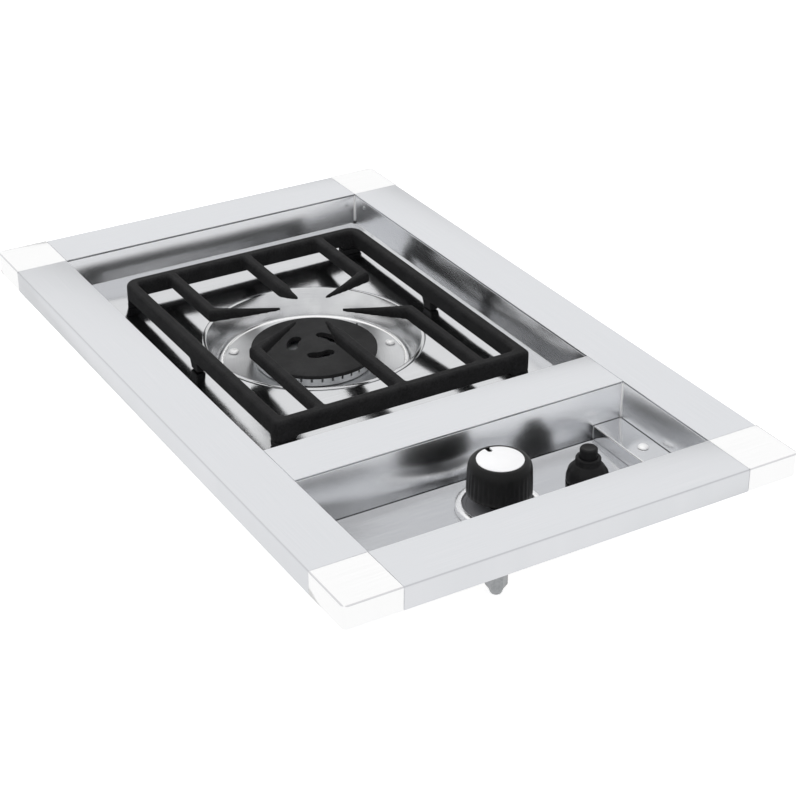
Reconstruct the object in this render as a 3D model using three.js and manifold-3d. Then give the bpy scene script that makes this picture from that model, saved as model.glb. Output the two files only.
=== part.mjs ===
// A drop-in gas side burner: a folded steel flange with bright corners round two steel wells.
// The rear well holds the burner and its cast iron grate, the front well the knob and the igniter.
// Millimetres, +Z up, +Y to the rear. The origin is the middle of the flange, on the worktop.
import * as THREE from 'three';
import { mergeVertices } from 'three/addons/utils/BufferGeometryUtils.js';
import Module from 'manifold-3d';

const wasm = await Module();
wasm.setup();

// Driving dimensions of the whole part
const flangeWidth = 360;
const burnerWellLength = 354.8;
const controlWellLength = 99.8;
const crossBarWidth = 45.4;
const sideStripWidth = 43;
const endStripWidth = 45;
const skirtHeight = 18;
const burnerWellFloor = -10;
const controlWellFloor = -24.6;
const burnerOffset = 1.9;
const knobSetback = 44.2;

// Sheet thicknesses and clearances
const stripSheet = 1.2;
const panSheet = 1;
const seatGap = 0.3;
const overrun = 2;

// Round counts
const roundSides = 40;
const igniterSides = 24;
const smallSides = 16;
const boltSides = 10;

// Places that follow from the driving dimensions
const flangeRight = flangeWidth / 2;
const wellRight = flangeRight - sideStripWidth;
const wellRear = (burnerWellLength + crossBarWidth + controlWellLength) / 2;
const flangeRear = wellRear + endStripWidth;
const crossBarRear = wellRear - burnerWellLength;
const crossBarFront = crossBarRear - crossBarWidth;
const burnerY = (crossBarRear + wellRear) / 2 + burnerOffset;
const knobY = crossBarFront - knobSetback;
const stripUnder = skirtHeight - stripSheet;
const lipTop = stripUnder - seatGap;
const burnerFloorUnder = burnerWellFloor - panSheet;
const controlFloorUnder = controlWellFloor - panSheet;

// Joins the doubled corners of a closed geometry and makes it a solid that can be joined and cut.
function solid(geometry) {
  const bare = geometry.clone();
  bare.deleteAttribute('normal');
  bare.deleteAttribute('uv');
  const joined = mergeVertices(bare);
  const corners = joined.index.array;
  const kept = [];
  for (let i = 0; i < corners.length; i += 3) {
    const [a, b, c] = [corners[i], corners[i + 1], corners[i + 2]];
    if (a !== b && b !== c && c !== a) {
      kept.push(a, b, c);
    }
  }
  return new wasm.Manifold(new wasm.Mesh({
    numProp: 3,
    vertProperties: new Float32Array(joined.attributes.position.array),
    triVerts: new Uint32Array(kept),
  }));
}

function box(xs, ys, zs) {
  const low = [Math.min(...xs), Math.min(...ys), Math.min(...zs)];
  const high = [Math.max(...xs), Math.max(...ys), Math.max(...zs)];
  const geometry = new THREE.BoxGeometry(high[0] - low[0], high[1] - low[1], high[2] - low[2]);
  geometry.translate((low[0] + high[0]) / 2, (low[1] + high[1]) / 2, (low[2] + high[2]) / 2);
  return solid(geometry);
}

function outline(points) {
  return new THREE.Shape(points.map(([x, y]) => new THREE.Vector2(x, y)));
}

// An outline in plan, raised from one height to another.
function prism(points, low, high) {
  const geometry = new THREE.ExtrudeGeometry(outline(points), { depth: high - low, bevelEnabled: false });
  geometry.translate(0, 0, low);
  return solid(geometry);
}

// An outline in (x, z), carried along y.
function prismAlongY(points, start, end) {
  const geometry = new THREE.ExtrudeGeometry(outline(points),
    { depth: end - start, bevelEnabled: false });
  geometry.rotateX(Math.PI / 2);
  geometry.translate(0, end, 0);
  return solid(geometry);
}

// An outline in (y, z), carried along x.
function prismAlongX(points, start, end) {
  const geometry = new THREE.ExtrudeGeometry(outline(points),
    { depth: end - start, bevelEnabled: false });
  const turn = new THREE.Matrix4().makeBasis(
    new THREE.Vector3(0, 1, 0), new THREE.Vector3(0, 0, 1), new THREE.Vector3(1, 0, 0));
  geometry.applyMatrix4(turn);
  geometry.translate(start, 0, 0);
  return solid(geometry);
}

// A profile of [radius, height] points turned about a vertical axis at (x, y).
// A profile that starts and ends on the axis is a plug; any other is closed on itself and is a ring.
function turned(profile, x, y, sides) {
  let area = 0;
  profile.forEach(([r, z], i) => {
    const [nextR, nextZ] = profile[(i + 1) % profile.length];
    area += r * nextZ - nextR * z;
  });
  const ordered = area > 0 ? profile.slice() : profile.slice().reverse();
  const plug = ordered.filter(([r]) => r === 0).length > 1;
  if (plug) {
    while (!(ordered[0][0] === 0 && ordered[ordered.length - 1][0] === 0)) {
      ordered.push(ordered.shift());
    }
  } else {
    ordered.push(ordered[0]);
  }
  const points = ordered.map(([r, z]) => new THREE.Vector2(r, z));
  const geometry = new THREE.LatheGeometry(points, sides);
  geometry.rotateX(Math.PI / 2);
  geometry.translate(x, y, 0);
  return solid(geometry);
}

function disc(radius, low, high, x, y, sides) {
  return turned([[0, low], [radius, low], [radius, high], [0, high]], x, y, sides);
}

function ring(inner, outer, low, high, x, y, sides) {
  return turned([[inner, low], [outer, low], [outer, high], [inner, high]], x, y, sides);
}

// The same, about an axis along y through (x, z); profile heights are then y.
function turnedAlongY(profile, x, z, sides) {
  return turned(profile.map(([r, y]) => [r, -y]), 0, 0, sides).rotate([90, 0, 0]).translate([x, 0, z]);
}

// A rod along x through (y, z).
function rodAlongX(radius, start, end, y, z, sides) {
  return disc(radius, start, end, 0, 0, sides).rotate([0, 90, 0]).translate([0, y, z]);
}

// A block between two flat end faces, each given by the same number of corners in the same order.
function lofted(near, far) {
  const positions = new Float32Array([...near, ...far].flat());
  const geometry = new THREE.BufferGeometry();
  geometry.setAttribute('position', new THREE.BufferAttribute(positions, 3));
  const count = near.length;
  const faces = [];
  for (let i = 1; i < count - 1; i += 1) {
    faces.push(0, i + 1, i, count, count + i, count + i + 1);
  }
  for (let i = 0; i < count; i += 1) {
    const next = (i + 1) % count;
    faces.push(i, next, next + count, i, next + count, i + count);
  }
  geometry.setIndex(faces);
  let made = solid(geometry);
  if (made.volume() < 0) {
    geometry.setIndex(faces.slice().reverse());
    made = solid(geometry);
  }
  return made;
}

function join(...solids) {
  return solids.reduce((whole, next) => whole.add(next));
}

// A hexagon bar, measured across its flats.
function hexagon(acrossFlats, low, high, x, y) {
  return disc(acrossFlats / Math.sqrt(3), low, high, x, y, 6);
}

// Points round a circle for an outline.
function arcPoints(x, y, radius, from, to, steps) {
  return Array.from({ length: steps + 1 }, (_, i) => {
    const angle = from + (to - from) * i / steps;
    return [x + radius * Math.cos(angle), y + radius * Math.sin(angle)];
  });
}

const part = new THREE.Group();

function add(name, shape, material) {
  const mesh = shape.getMesh();
  const geometry = new THREE.BufferGeometry();
  geometry.setAttribute('position', new THREE.BufferAttribute(mesh.vertProperties, 3));
  geometry.setIndex(new THREE.BufferAttribute(mesh.triVerts, 1));
  geometry.computeVertexNormals();
  const piece = new THREE.Mesh(geometry, material.clone());
  piece.name = name;
  part.add(piece);
}

function finish(color, metalness, roughness) {
  return new THREE.MeshStandardMaterial({ color, metalness, roughness });
}

const satinSteel = finish('#dcdee0', 0.9, 0.38);
const polishedSteel = finish('#f6f6f6', 1, 0.08);
const panSteel = finish('#c4c6ca', 1, 0.2);
const bowlSteel = finish('#d2d4d6', 1, 0.14);
const castIron = finish('#232323', 0.1, 0.6);
const blackRubber = finish('#17171a', 0, 0.8);
const capEnamel = finish('#343434', 0.1, 0.5);
const castAluminium = finish('#a9abac', 0.9, 0.5);
const blackPlastic = finish('#1c1c1d', 0, 0.45);
const whitePlate = finish('#f4f4f6', 0.1, 0.3);
const greyPlate = finish('#48484a', 0.2, 0.5);
const brass = finish('#c2a15a', 1, 0.3);
const zincSteel = finish('#b7babd', 1, 0.35);
const springSteel = finish('#8d8f92', 1, 0.35);
const ceramic = finish('#ece8df', 0, 0.4);

// Flange strips: a flat top, a skirt on the outer edge and a lip turned in at its foot
const skirtLip = 10;
const foldRadius = 1.6;
const foldSteps = 4;

function stripSection(width) {
  const fold = arcPoints(foldRadius, skirtHeight - foldRadius, foldRadius, Math.PI / 2, Math.PI,
    foldSteps);
  return [[0, 0], [skirtLip, 0], [skirtLip, stripSheet], [stripSheet, stripSheet],
    [stripSheet, stripUnder],
    [width, stripUnder], [width, skirtHeight], ...fold];
}

const sideStripEnd = wellRear - seatGap / 2;
const endStripEnd = wellRight - seatGap / 2;
[['flange_left', -1], ['flange_right', 1]].forEach(([name, side]) => {
  const section = stripSection(sideStripWidth).map(([u, z]) => [side * (flangeRight - u), z]);
  add(name, prismAlongY(section, -sideStripEnd, sideStripEnd), satinSteel);
});
[['flange_front', -1], ['flange_rear', 1]].forEach(([name, side]) => {
  const section = stripSection(endStripWidth).map(([u, z]) => [side * (flangeRear - u), z]);
  add(name, prismAlongX(section, -endStripEnd, endStripEnd), satinSteel);
});

// Corner caps: bright squares with two skirts, a rounded outer corner and two tongues under the strips
const cornerRadius = 4;
const cornerSteps = 5;
const tongueInset = 13;
const tongueWidth = 14;
const tongueReach = 12;
const tongueSheet = 1.2;

// The plan of a corner, drawn in from its two outer sides by an inset.
function cornerPlan(sideX, sideY, inset, reach) {
  const outerX = flangeRight - inset;
  const outerY = flangeRear - inset;
  const radius = Math.max(cornerRadius - inset, 0);
  const bend = radius > 0
    ? arcPoints(outerX - radius, outerY - radius, radius, 0, Math.PI / 2, cornerSteps)
    : [[outerX, outerY]];
  const innerX = wellRight + seatGap / 2 - reach;
  const innerY = wellRear + seatGap / 2 - reach;
  return [[innerX, innerY], [outerX, innerY], ...bend,
    [innerX, outerY]].map(([x, y]) => [sideX * x, sideY * y]);
}

[['corner_front_left', -1, -1], ['corner_front_right', 1, -1],
  ['corner_rear_left', -1, 1], ['corner_rear_right', 1, 1]].forEach(([name, sideX, sideY]) => {
  const block = prism(cornerPlan(sideX, sideY, 0, 0), 0, skirtHeight);
  const hollow = prism(cornerPlan(sideX, sideY, stripSheet, overrun), stripSheet, stripUnder);
  const mouth = prism(cornerPlan(sideX, sideY, skirtLip, overrun), -overrun, stripUnder);
  const shell = block.subtract(join(hollow, mouth));
  const tongueLow = stripUnder - seatGap - tongueSheet;
  const edgeX = wellRight + seatGap / 2;
  const edgeY = wellRear + seatGap / 2;
  const acrossX = [flangeRight - tongueInset - tongueWidth,
    flangeRight - tongueInset].map((x) => sideX * x);
  const acrossY = [flangeRear - tongueInset - tongueWidth,
    flangeRear - tongueInset].map((y) => sideY * y);
  const tongues = join(
    box(acrossX, [sideY * edgeY, sideY * (edgeY + tongueReach)],
      [tongueLow, stripUnder + stripSheet / 2]),
    box(acrossX, [sideY * (edgeY - tongueReach), sideY * (edgeY + tongueReach)], [tongueLow, lipTop]),
    box([sideX * edgeX, sideX * (edgeX + tongueReach)], acrossY,
      [tongueLow, stripUnder + stripSheet / 2]),
    box([sideX * (edgeX - tongueReach), sideX * (edgeX + tongueReach)], acrossY, [tongueLow, lipTop]),
  );
  add(name, shell.add(tongues), polishedSteel);
});

// Cross bar between the wells, with two stiffening ribs under it
const barRibSpacing = 16;
const barRibDepth = 9;
const barMiddle = (crossBarFront + crossBarRear) / 2;
const barEnd = wellRight - seatGap;
const barRibs = [-1, 1].map((side) => {
  const edge = barMiddle + side * barRibSpacing / 2;
  return box([-barEnd, barEnd], [edge - stripSheet / 2, edge + stripSheet / 2],
    [stripUnder - barRibDepth, stripUnder + stripSheet / 2]);
});
const barPlate = box([-barEnd, barEnd], [crossBarFront, crossBarRear], [stripUnder, skirtHeight]);
add('cross_bar', join(barPlate, ...barRibs), satinSteel);

// Rivets: a domed head, a shank and a flat tail, drawn about the origin along z
const rivetShank = 1.3;
const rivetTail = 2.4;
const rivetTailDepth = 1.2;
const rivetClearance = 0.3;
const rivetHoleRadius = rivetShank + rivetClearance;

function rivet(sheet, head, dome) {
  const domeShares = [[1, 0], [0.85, 0.6], [0.45, 0.93], [0, 1]];
  const under = -sheet - seatGap;
  return turned([
    [0, under - rivetTailDepth], [rivetTail, under - rivetTailDepth], [rivetTail, under],
    [rivetShank, under],
    [rivetShank, seatGap], ...domeShares.map(([r, z]) => [r * head, seatGap + z * dome]),
  ], 0, 0, boltSides);
}

// Wells: folded pans with welded corners and a lip under the strips
const panLip = 12;

function pan(front, rear, floor) {
  const outerX = wellRight + panSheet;
  const body = box([-outerX, outerX], [front - panSheet, rear + panSheet], [floor - panSheet, lipTop]);
  const lipX = wellRight + panLip;
  const lip = box([-lipX, lipX], [front - panLip, rear + panLip], [lipTop - panSheet, lipTop]);
  const hollow = box([-wellRight, wellRight], [front, rear], [floor, lipTop + overrun]);
  return join(body, lip).subtract(hollow);
}

// Burner well, with the round hole for the bowl and the studs that carry the shield and the hanger
const bowlRimRadius = 89;
const bowlRimWidth = 2.2;
const bowlWallClearance = 0.5;
const bowlTopRadius = bowlRimRadius - bowlRimWidth;
const floorHoleRadius = bowlTopRadius + bowlWallClearance;
const wellRivetHead = 2.1;
const wellRivetDome = 1.2;
const wellRivetInset = 17;
const rivetDrop = 5.5;
const wellRivetY = wellRear - wellRivetInset;
const wellRivetZ = lipTop - rivetDrop;
const studRadius = 2;
const studLength = 9;
const shieldStudInset = 25;
const shieldStudSpacing = 120;
const hangerStudX = 22;
const hangerSetback = 26.8;
const shieldStudX = wellRight - shieldStudInset;
const hangerY = crossBarRear + hangerSetback;
const studs = [
  ...[-1, 1].flatMap((side) => (
    [-1, 1].map((end) => [side * shieldStudX, burnerY + end * shieldStudSpacing / 2]))),
  ...[-1, 1].map((side) => [side * hangerStudX, hangerY]),
];
const studEnd = burnerFloorUnder - studLength;
const burnerWell = join(
  pan(crossBarRear, wellRear, burnerWellFloor),
  ...studs.map(([x, y]) => disc(studRadius, studEnd, burnerFloorUnder + panSheet / 2, x, y, boltSides)),
).subtract(join(
  disc(floorHoleRadius, burnerFloorUnder - overrun, burnerWellFloor + overrun, 0, burnerY, roundSides),
  rodAlongX(rivetHoleRadius, wellRight - overrun, wellRight + panSheet + overrun, wellRivetY,
    wellRivetZ, boltSides),
));
add('burner_well', burnerWell, panSteel);
const wellRivet = rivet(panSheet, wellRivetHead, wellRivetDome).rotate([0, -90, 0]);
add('well_rivet', wellRivet.translate([wellRight, wellRivetY, wellRivetZ]), zincSteel);

// Control well, with holes for the valve, its screws and the igniter, which stands beside the shelf
const shelfWidth = 25;
const bezelOuter = 32;
const igniterShare = 0.544;
const shelfLeft = wellRight - shelfWidth;
const igniterX = bezelOuter + igniterShare * (shelfLeft - bezelOuter);
const stemHoleRadius = 9;
const valveScrewReach = 14;
const screwHoleRadius = 2.2;
const igniterNeckRadius = 10;
const igniterNeckClearance = 0.4;
const valveScrewPlaces = [-1, 1].map((side) => [side * valveScrewReach, knobY]);
const floorBore = [controlFloorUnder - overrun, controlWellFloor + overrun];
const controlWell = pan(-wellRear, crossBarFront, controlWellFloor).subtract(join(
  disc(stemHoleRadius, ...floorBore, 0, knobY, smallSides),
  disc(igniterNeckRadius + igniterNeckClearance, ...floorBore, igniterX, knobY, smallSides),
  ...valveScrewPlaces.map(([x, y]) => disc(screwHoleRadius, ...floorBore, x, y, boltSides)),
));
add('control_well', controlWell, panSteel);

// Raised shelf on the right of the control well: a top plate and an upright side
const shelfHeight = 12.1;
const shelfTop = controlWellFloor + shelfHeight;
const shelfRivetHead = 4.1;
const shelfRivetDome = 2.3;
const shelfRivetX = wellRight - shelfWidth / 2;
const shelfEnds = [-wellRear + seatGap, crossBarFront - seatGap];
const shelf = join(
  box([shelfLeft, wellRight - seatGap], shelfEnds, [shelfTop - panSheet, shelfTop]),
  box([shelfLeft, shelfLeft + panSheet], shelfEnds, [controlWellFloor + seatGap, shelfTop]),
).subtract(disc(rivetHoleRadius, shelfTop - overrun, shelfTop + overrun, shelfRivetX, knobY, boltSides));
add('control_shelf', shelf, panSteel);
const shelfRivet = rivet(panSheet, shelfRivetHead, shelfRivetDome);
add('shelf_rivet', shelfRivet.translate([shelfRivetX, knobY, shelfTop]), zincSteel);

// Burner bowl: a rolled rim on the well's floor, a steep wall and a flat bottom
const bowlSheet = 1.2;
const bowlDepth = 22.7;
const bowlFootRadius = 78;
const bowlFootBend = 2.4;
const bowlRimLift = 0.3;
const throatRadius = 26;
const bowlRimTop = burnerWellFloor + bowlRimLift + bowlSheet;
const bowlBottom = bowlRimTop - bowlDepth;
const bowlUnder = bowlBottom - bowlSheet;
const electrodeAngle = 21.7 * Math.PI / 180;
const capRadius = 50.5;
const electrodeOffset = 4.1;
const electrodeReach = capRadius + electrodeOffset;
const electrodeX = electrodeReach * Math.cos(electrodeAngle);
const electrodeY = burnerY + electrodeReach * Math.sin(electrodeAngle);
const ceramicRadius = 3;
const ceramicClearance = 0.4;
const plateClearance = 2.6;
const bowlScrewInset = 9.4;
const plateRadius = bowlFootRadius - plateClearance;
const bowlScrewReach = plateRadius - bowlScrewInset;
const bowlScrewAngles = [141, 247, 353].map((degrees) => degrees * Math.PI / 180);
const bowlScrewPlaces = bowlScrewAngles.map((angle) => [
  bowlScrewReach * Math.cos(angle), burnerY + bowlScrewReach * Math.sin(angle)]);

// The holes that the screws and the electrode need in each layer of the burner's floor.
function burnerFloorHoles(low, high) {
  return join(
    ...bowlScrewPlaces.map(([x, y]) => disc(screwHoleRadius, low, high, x, y, boltSides)),
    disc(ceramicRadius + ceramicClearance, low, high, electrodeX, electrodeY, boltSides),
  );
}

const bowl = turned([
  [throatRadius, bowlUnder], [bowlFootRadius - bowlFootBend, bowlUnder],
  [bowlFootRadius, bowlUnder + bowlFootBend], [bowlTopRadius, bowlRimTop - bowlSheet],
  [bowlRimRadius, bowlRimTop - bowlSheet], [bowlRimRadius, bowlRimTop - bowlSheet / 2],
  [bowlRimRadius - bowlSheet / 2, bowlRimTop], [bowlTopRadius - bowlSheet / 2, bowlRimTop],
  [bowlTopRadius - bowlSheet, bowlRimTop - bowlSheet / 2],
  [bowlFootRadius - bowlSheet, bowlBottom + bowlFootBend],
  [bowlFootRadius - bowlFootBend, bowlBottom], [throatRadius, bowlBottom],
], 0, burnerY, roundSides).subtract(burnerFloorHoles(bowlUnder - overrun, bowlBottom + overrun));
add('burner_bowl', bowl, bowlSteel);

// Burner plate: a bright disc with a rolled bead, screwed down in the bottom of the bowl
const beadWidth = 1.6;
const beadHeight = 2.2;
const plateUnder = bowlBottom + seatGap;
const plateTop = plateUnder + bowlSheet;
const beadEdge = plateRadius - beadWidth / 2;
const plate = turned([
  [throatRadius, plateUnder], [beadEdge - beadWidth / 2, plateUnder],
  [plateRadius, plateUnder + beadWidth / 2], [plateRadius, plateUnder + beadHeight - beadWidth / 2],
  [beadEdge, plateUnder + beadHeight], [plateRadius - beadWidth, plateUnder + beadHeight - beadWidth / 2],
  [plateRadius - beadWidth, plateTop], [throatRadius, plateTop],
], 0, burnerY, roundSides).subtract(burnerFloorHoles(plateUnder - overrun, plateTop + overrun));
add('burner_plate', plate, bowlSteel);

// Pan-head screws with a cross slot, drawn with the seat of the head at a given height
const screwShankRadius = 1.8;
const slotWidth = 0.9;
const slotDepth = 0.9;

function panScrew(x, y, seat, length, headRadius, headHeight) {
  const top = seat + headHeight;
  const domeShares = [[1, 0.3], [0.86, 0.68], [0.55, 0.92], [0, 1]];
  const body = turned([
    [0, seat - length], [screwShankRadius, seat - length], [screwShankRadius, seat], [headRadius, seat],
    ...domeShares.map(([r, z]) => [r * headRadius, seat + z * headHeight]),
  ], x, y, boltSides);
  const reach = headRadius / 2;
  const slots = join(
    box([x - reach, x + reach], [y - slotWidth / 2, y + slotWidth / 2], [top - slotDepth, top + overrun]),
    box([x - slotWidth / 2, x + slotWidth / 2], [y - reach, y + reach], [top - slotDepth, top + overrun]),
  );
  return body.subtract(slots);
}

// Burner base: a cast flange under the bowl whose throat bends forward to take the mixing tube
const baseInset = 5;
const baseThickness = 3;
const throatWall = 2.6;
const tubeRadius = 12.5;
const tubeWall = 1.3;
const elbowWall = 0.8;
const elbowRadius = tubeRadius + elbowWall;
const elbowBend = 17;
const elbowSpigot = 14;
const elbowSteps = 5;
const throatFlare = 22;
const throatDrop = 1.3;
const baseRadius = bowlFootRadius - baseInset;
const baseTop = bowlUnder - seatGap;
const baseUnder = baseTop - baseThickness;
const bendTop = baseUnder - throatDrop;
const gasLineHeight = bendTop - elbowBend;

class ElbowRoute extends THREE.Curve {
  getPoint(share) {
    const angle = share * Math.PI / 2;
    return new THREE.Vector3(0, burnerY - elbowBend + elbowBend * Math.cos(angle),
      bendTop - elbowBend * Math.sin(angle));
  }
}

function elbow(radius) {
  const section = outline(arcPoints(0, 0, radius, 0, 2 * Math.PI * (1 - 1 / smallSides), smallSides - 1));
  const options = { steps: elbowSteps, bevelEnabled: false, extrudePath: new ElbowRoute() };
  return solid(new THREE.ExtrudeGeometry(section, options));
}

const spigotEnd = burnerY - elbowBend - elbowSpigot;

// A straight run of the spigot, from inside the bend forward to a given y.
function spigot(radius, end) {
  const start = burnerY - elbowBend + seatGap;
  return turnedAlongY([[0, end], [radius, end], [radius, start], [0, start]], 0, gasLineHeight,
    smallSides);
}

const throatBore = elbowRadius - throatWall;
const baseOuter = join(
  disc(baseRadius, baseUnder, baseTop, 0, burnerY, roundSides),
  turned([[0, bendTop - seatGap], [elbowRadius + throatWall / 2, bendTop - seatGap],
    [throatFlare, baseUnder + seatGap], [0, baseUnder + seatGap]], 0, burnerY, smallSides),
  elbow(elbowRadius), spigot(elbowRadius, spigotEnd),
);
const baseInner = join(
  disc(throatBore, bendTop - seatGap, baseTop + overrun, 0, burnerY, smallSides),
  elbow(throatBore), spigot(throatBore, spigotEnd - overrun),
  burnerFloorHoles(baseUnder - overrun, baseTop + overrun),
);
add('burner_base', baseOuter.subtract(baseInner), castAluminium);

const bowlScrewHead = 4.2;
const bowlScrewHeight = 2.5;
const bowlScrewSeat = plateTop + seatGap;
const bowlScrewLength = bowlScrewSeat - baseUnder + panSheet;
bowlScrewPlaces.forEach(([x, y], i) => {
  const screw = panScrew(x, y, bowlScrewSeat, bowlScrewLength, bowlScrewHead, bowlScrewHeight);
  add(`bowl_screw_${i + 1}`, screw, zincSteel);
});

// Burner head: a light ring with a port slit every ten degrees and an inner deck round the gas hole
const headRadius = 47.6;
const headWall = 7.6;
const headHeight = 7.6;
const portCount = 36;
const portWidth = 1.5;
const portDepth = 4.2;
const portOffset = -1.2;
const deckDrop = 2.9;
const deckThickness = 1.2;
const deckSlope = 3;
const gasHoleRadius = 11;
const headUnder = plateTop + seatGap;
const headTop = headUnder + headHeight;
const deckTop = headTop - deckDrop;
const deckRimTop = headTop - portDepth - seatGap;
const headInner = headRadius - headWall;
const deckRim = headInner - deckSlope;
const deckFlat = deckRim - deckSlope;
const headBlank = turned([
  [gasHoleRadius, deckTop - deckThickness], [deckFlat, deckTop - deckThickness],
  [deckRim, deckRimTop - deckThickness], [headInner, deckRimTop - deckThickness], [headInner, headUnder],
  [headRadius, headUnder], [headRadius, headTop], [headInner, headTop], [headInner, deckRimTop],
  [deckRim, deckRimTop], [deckFlat, deckTop], [gasHoleRadius, deckTop],
], 0, burnerY, portCount);
const ports = Array.from({ length: portCount }, (_, i) => {
  const slit = box([deckRim + seatGap, headRadius + overrun], [-portWidth / 2, portWidth / 2],
    [headTop - portDepth, headTop + overrun]);
  return slit.rotate([0, 0, portOffset + i * 360 / portCount]).translate([0, burnerY, 0]);
});
add('burner_head', headBlank.subtract(join(...ports)), castAluminium);

// Burner cap: a slightly domed enamelled disc with three curved slots and a locating ring under it
const capThickness = 2.8;
const capEdge = 1;
const capDome = 1.4;
const capRingWall = 2;
const capRingDepth = 2.2;
const slotReach = 17.8;
const slotRound = 4.4;
const slotTurn = 20;
const slotSpan = 46 * Math.PI / 180;
const slotSteps = 4;
const slotEndSteps = 3;
const capUnder = headTop + seatGap;
const capTop = capUnder + capThickness;
const capRingRadius = headInner - seatGap;

function kidney(middle) {
  const from = middle - slotSpan / 2;
  const to = middle + slotSpan / 2;
  const endX = (angle) => slotReach * Math.cos(angle);
  const endY = (angle) => burnerY + slotReach * Math.sin(angle);
  return [
    ...arcPoints(0, burnerY, slotReach + slotRound, from, to, slotSteps),
    ...arcPoints(endX(to), endY(to), slotRound, to, to + Math.PI, slotEndSteps).slice(1, -1),
    ...arcPoints(0, burnerY, slotReach - slotRound, to, from, slotSteps),
    ...arcPoints(endX(from), endY(from), slotRound, from + Math.PI, from + 2 * Math.PI,
      slotEndSteps).slice(1, -1),
  ];
}

const capDomeShares = [[0.8, 0.36], [0.6, 0.64], [0.4, 0.84], [0.2, 0.96], [0, 1]];
const capBlank = turned([
  [0, capUnder], [capRingRadius - capRingWall, capUnder],
  [capRingRadius - capRingWall, capUnder - capRingDepth],
  [capRingRadius, capUnder - capRingDepth], [capRingRadius, capUnder],
  [capRadius - capEdge / 2, capUnder],
  [capRadius, capUnder + capEdge / 2], [capRadius, capTop - capEdge], [capRadius - capEdge, capTop],
  ...capDomeShares.map(([r, z]) => [r * capRadius, capTop + z * capDome]),
], 0, burnerY, roundSides);
const capSlots = [0, 1, 2].map((i) => {
  const middle = (slotTurn + i * 360 / 3) * Math.PI / 180;
  return prism(kidney(middle), capUnder - overrun, capTop + capDome + overrun);
});
add('burner_cap', capBlank.subtract(join(...capSlots)), capEnamel);

// Spark electrode beside the cap: a ceramic with a collar under the base, its wire and its clip
const ceramicTop = headTop - 2.6;
const ceramicLength = 34;
const ceramicCollar = 5;
const ceramicCollarDepth = 2.8;
const wireRadius = 0.9;
const wireClearance = 0.3;
const wireTip = 4.4;
const wireTail = 6;
const clipThickness = 1;
const clipReach = 16;
const clipWidth = 13;
const ceramicBottom = ceramicTop - ceramicLength;
const collarTop = baseUnder - seatGap;
const collarBottom = collarTop - ceramicCollarDepth;
const wireBore = wireRadius + wireClearance;
add('electrode_ceramic', turned([
  [wireBore, ceramicBottom], [ceramicRadius, ceramicBottom], [ceramicRadius, collarBottom],
  [ceramicCollar, collarBottom], [ceramicCollar, collarTop], [ceramicRadius, collarTop],
  [ceramicRadius, ceramicTop - wireRadius], [ceramicRadius - wireRadius, ceramicTop],
  [wireBore, ceramicTop],
], electrodeX, electrodeY, boltSides), ceramic);
add('electrode_wire', disc(wireRadius, ceramicBottom - wireTail, ceramicTop + wireTip,
  electrodeX, electrodeY, boltSides), springSteel);
const clipTop = collarBottom - seatGap;
const clipScrewX = electrodeX - clipReach;
const clipScrewSeat = baseUnder - seatGap;
const clipBlank = join(
  box([clipScrewX - clipWidth / 2, electrodeX + clipWidth / 2],
    [electrodeY - clipWidth / 2, electrodeY + clipWidth / 2], [clipTop - clipThickness, clipTop]),
  box([clipScrewX - clipWidth / 2, clipScrewX + clipWidth / 3],
    [electrodeY - clipWidth / 2, electrodeY + clipWidth / 2], [clipTop - clipThickness, clipScrewSeat]),
);
const clip = clipBlank.subtract(disc(ceramicRadius + ceramicClearance, clipTop - overrun,
  clipTop + overrun,
  electrodeX, electrodeY, boltSides));
add('electrode_clip', clip, zincSteel);

// Mixing tube: a socket on the elbow, a long barrel and a flared mouth with two air windows
const socketClearance = 0.3;
const socketLength = 16;
const socketTaper = 5;
const mouthRadius = 15;
const mouthLength = 14;
const mouthTaper = 10;
const mouthSetback = 30.4;
const mouthDisc = 1.2;
const jetClearance = 0.9;
const jetHexFlats = 9;
const jetHole = jetHexFlats / Math.sqrt(3) + jetClearance;
const windowReach = 10.1;
const windowRadius = 3;
const mouthY = knobY + mouthSetback;
const socketInner = elbowRadius + socketClearance;
const socketOuter = socketInner + tubeWall;
const tubeInner = tubeRadius - tubeWall;
const socketMouth = spigotEnd + socketLength - seatGap;
const socketFloor = spigotEnd - seatGap;
const flareStart = mouthY + mouthLength;
const windowAngles = [0, 120, 240].map((degrees) => degrees * Math.PI / 180);

// Round air windows through an end disc, turned round the gas line by an angle.
function airWindows(turn, from, to) {
  return join(...windowAngles.map((angle) => turnedAlongY(
    [[0, from], [windowRadius, from], [windowRadius, to], [0, to]],
    windowReach * Math.cos(angle + turn), gasLineHeight + windowReach * Math.sin(angle + turn),
    boltSides)));
}

const tubeSocketEnd = Math.min(socketMouth, burnerY - elbowBend - seatGap);
const mixingTube = turnedAlongY([
  [jetHole, mouthY], [mouthRadius, mouthY], [mouthRadius, flareStart],
  [tubeRadius, flareStart + mouthTaper],
  [tubeRadius, socketFloor - socketTaper], [socketOuter, socketFloor], [socketOuter, tubeSocketEnd],
  [socketInner, tubeSocketEnd], [socketInner, socketFloor], [tubeInner, socketFloor - socketTaper],
  [tubeInner, flareStart + mouthTaper], [mouthRadius - tubeWall, flareStart],
  [mouthRadius - tubeWall, mouthY + mouthDisc], [jetHole, mouthY + mouthDisc],
], 0, gasLineHeight, smallSides).subtract(airWindows(0, mouthY - overrun, mouthY + mouthDisc + overrun));
add('mixing_tube', mixingTube, castAluminium);

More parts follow.
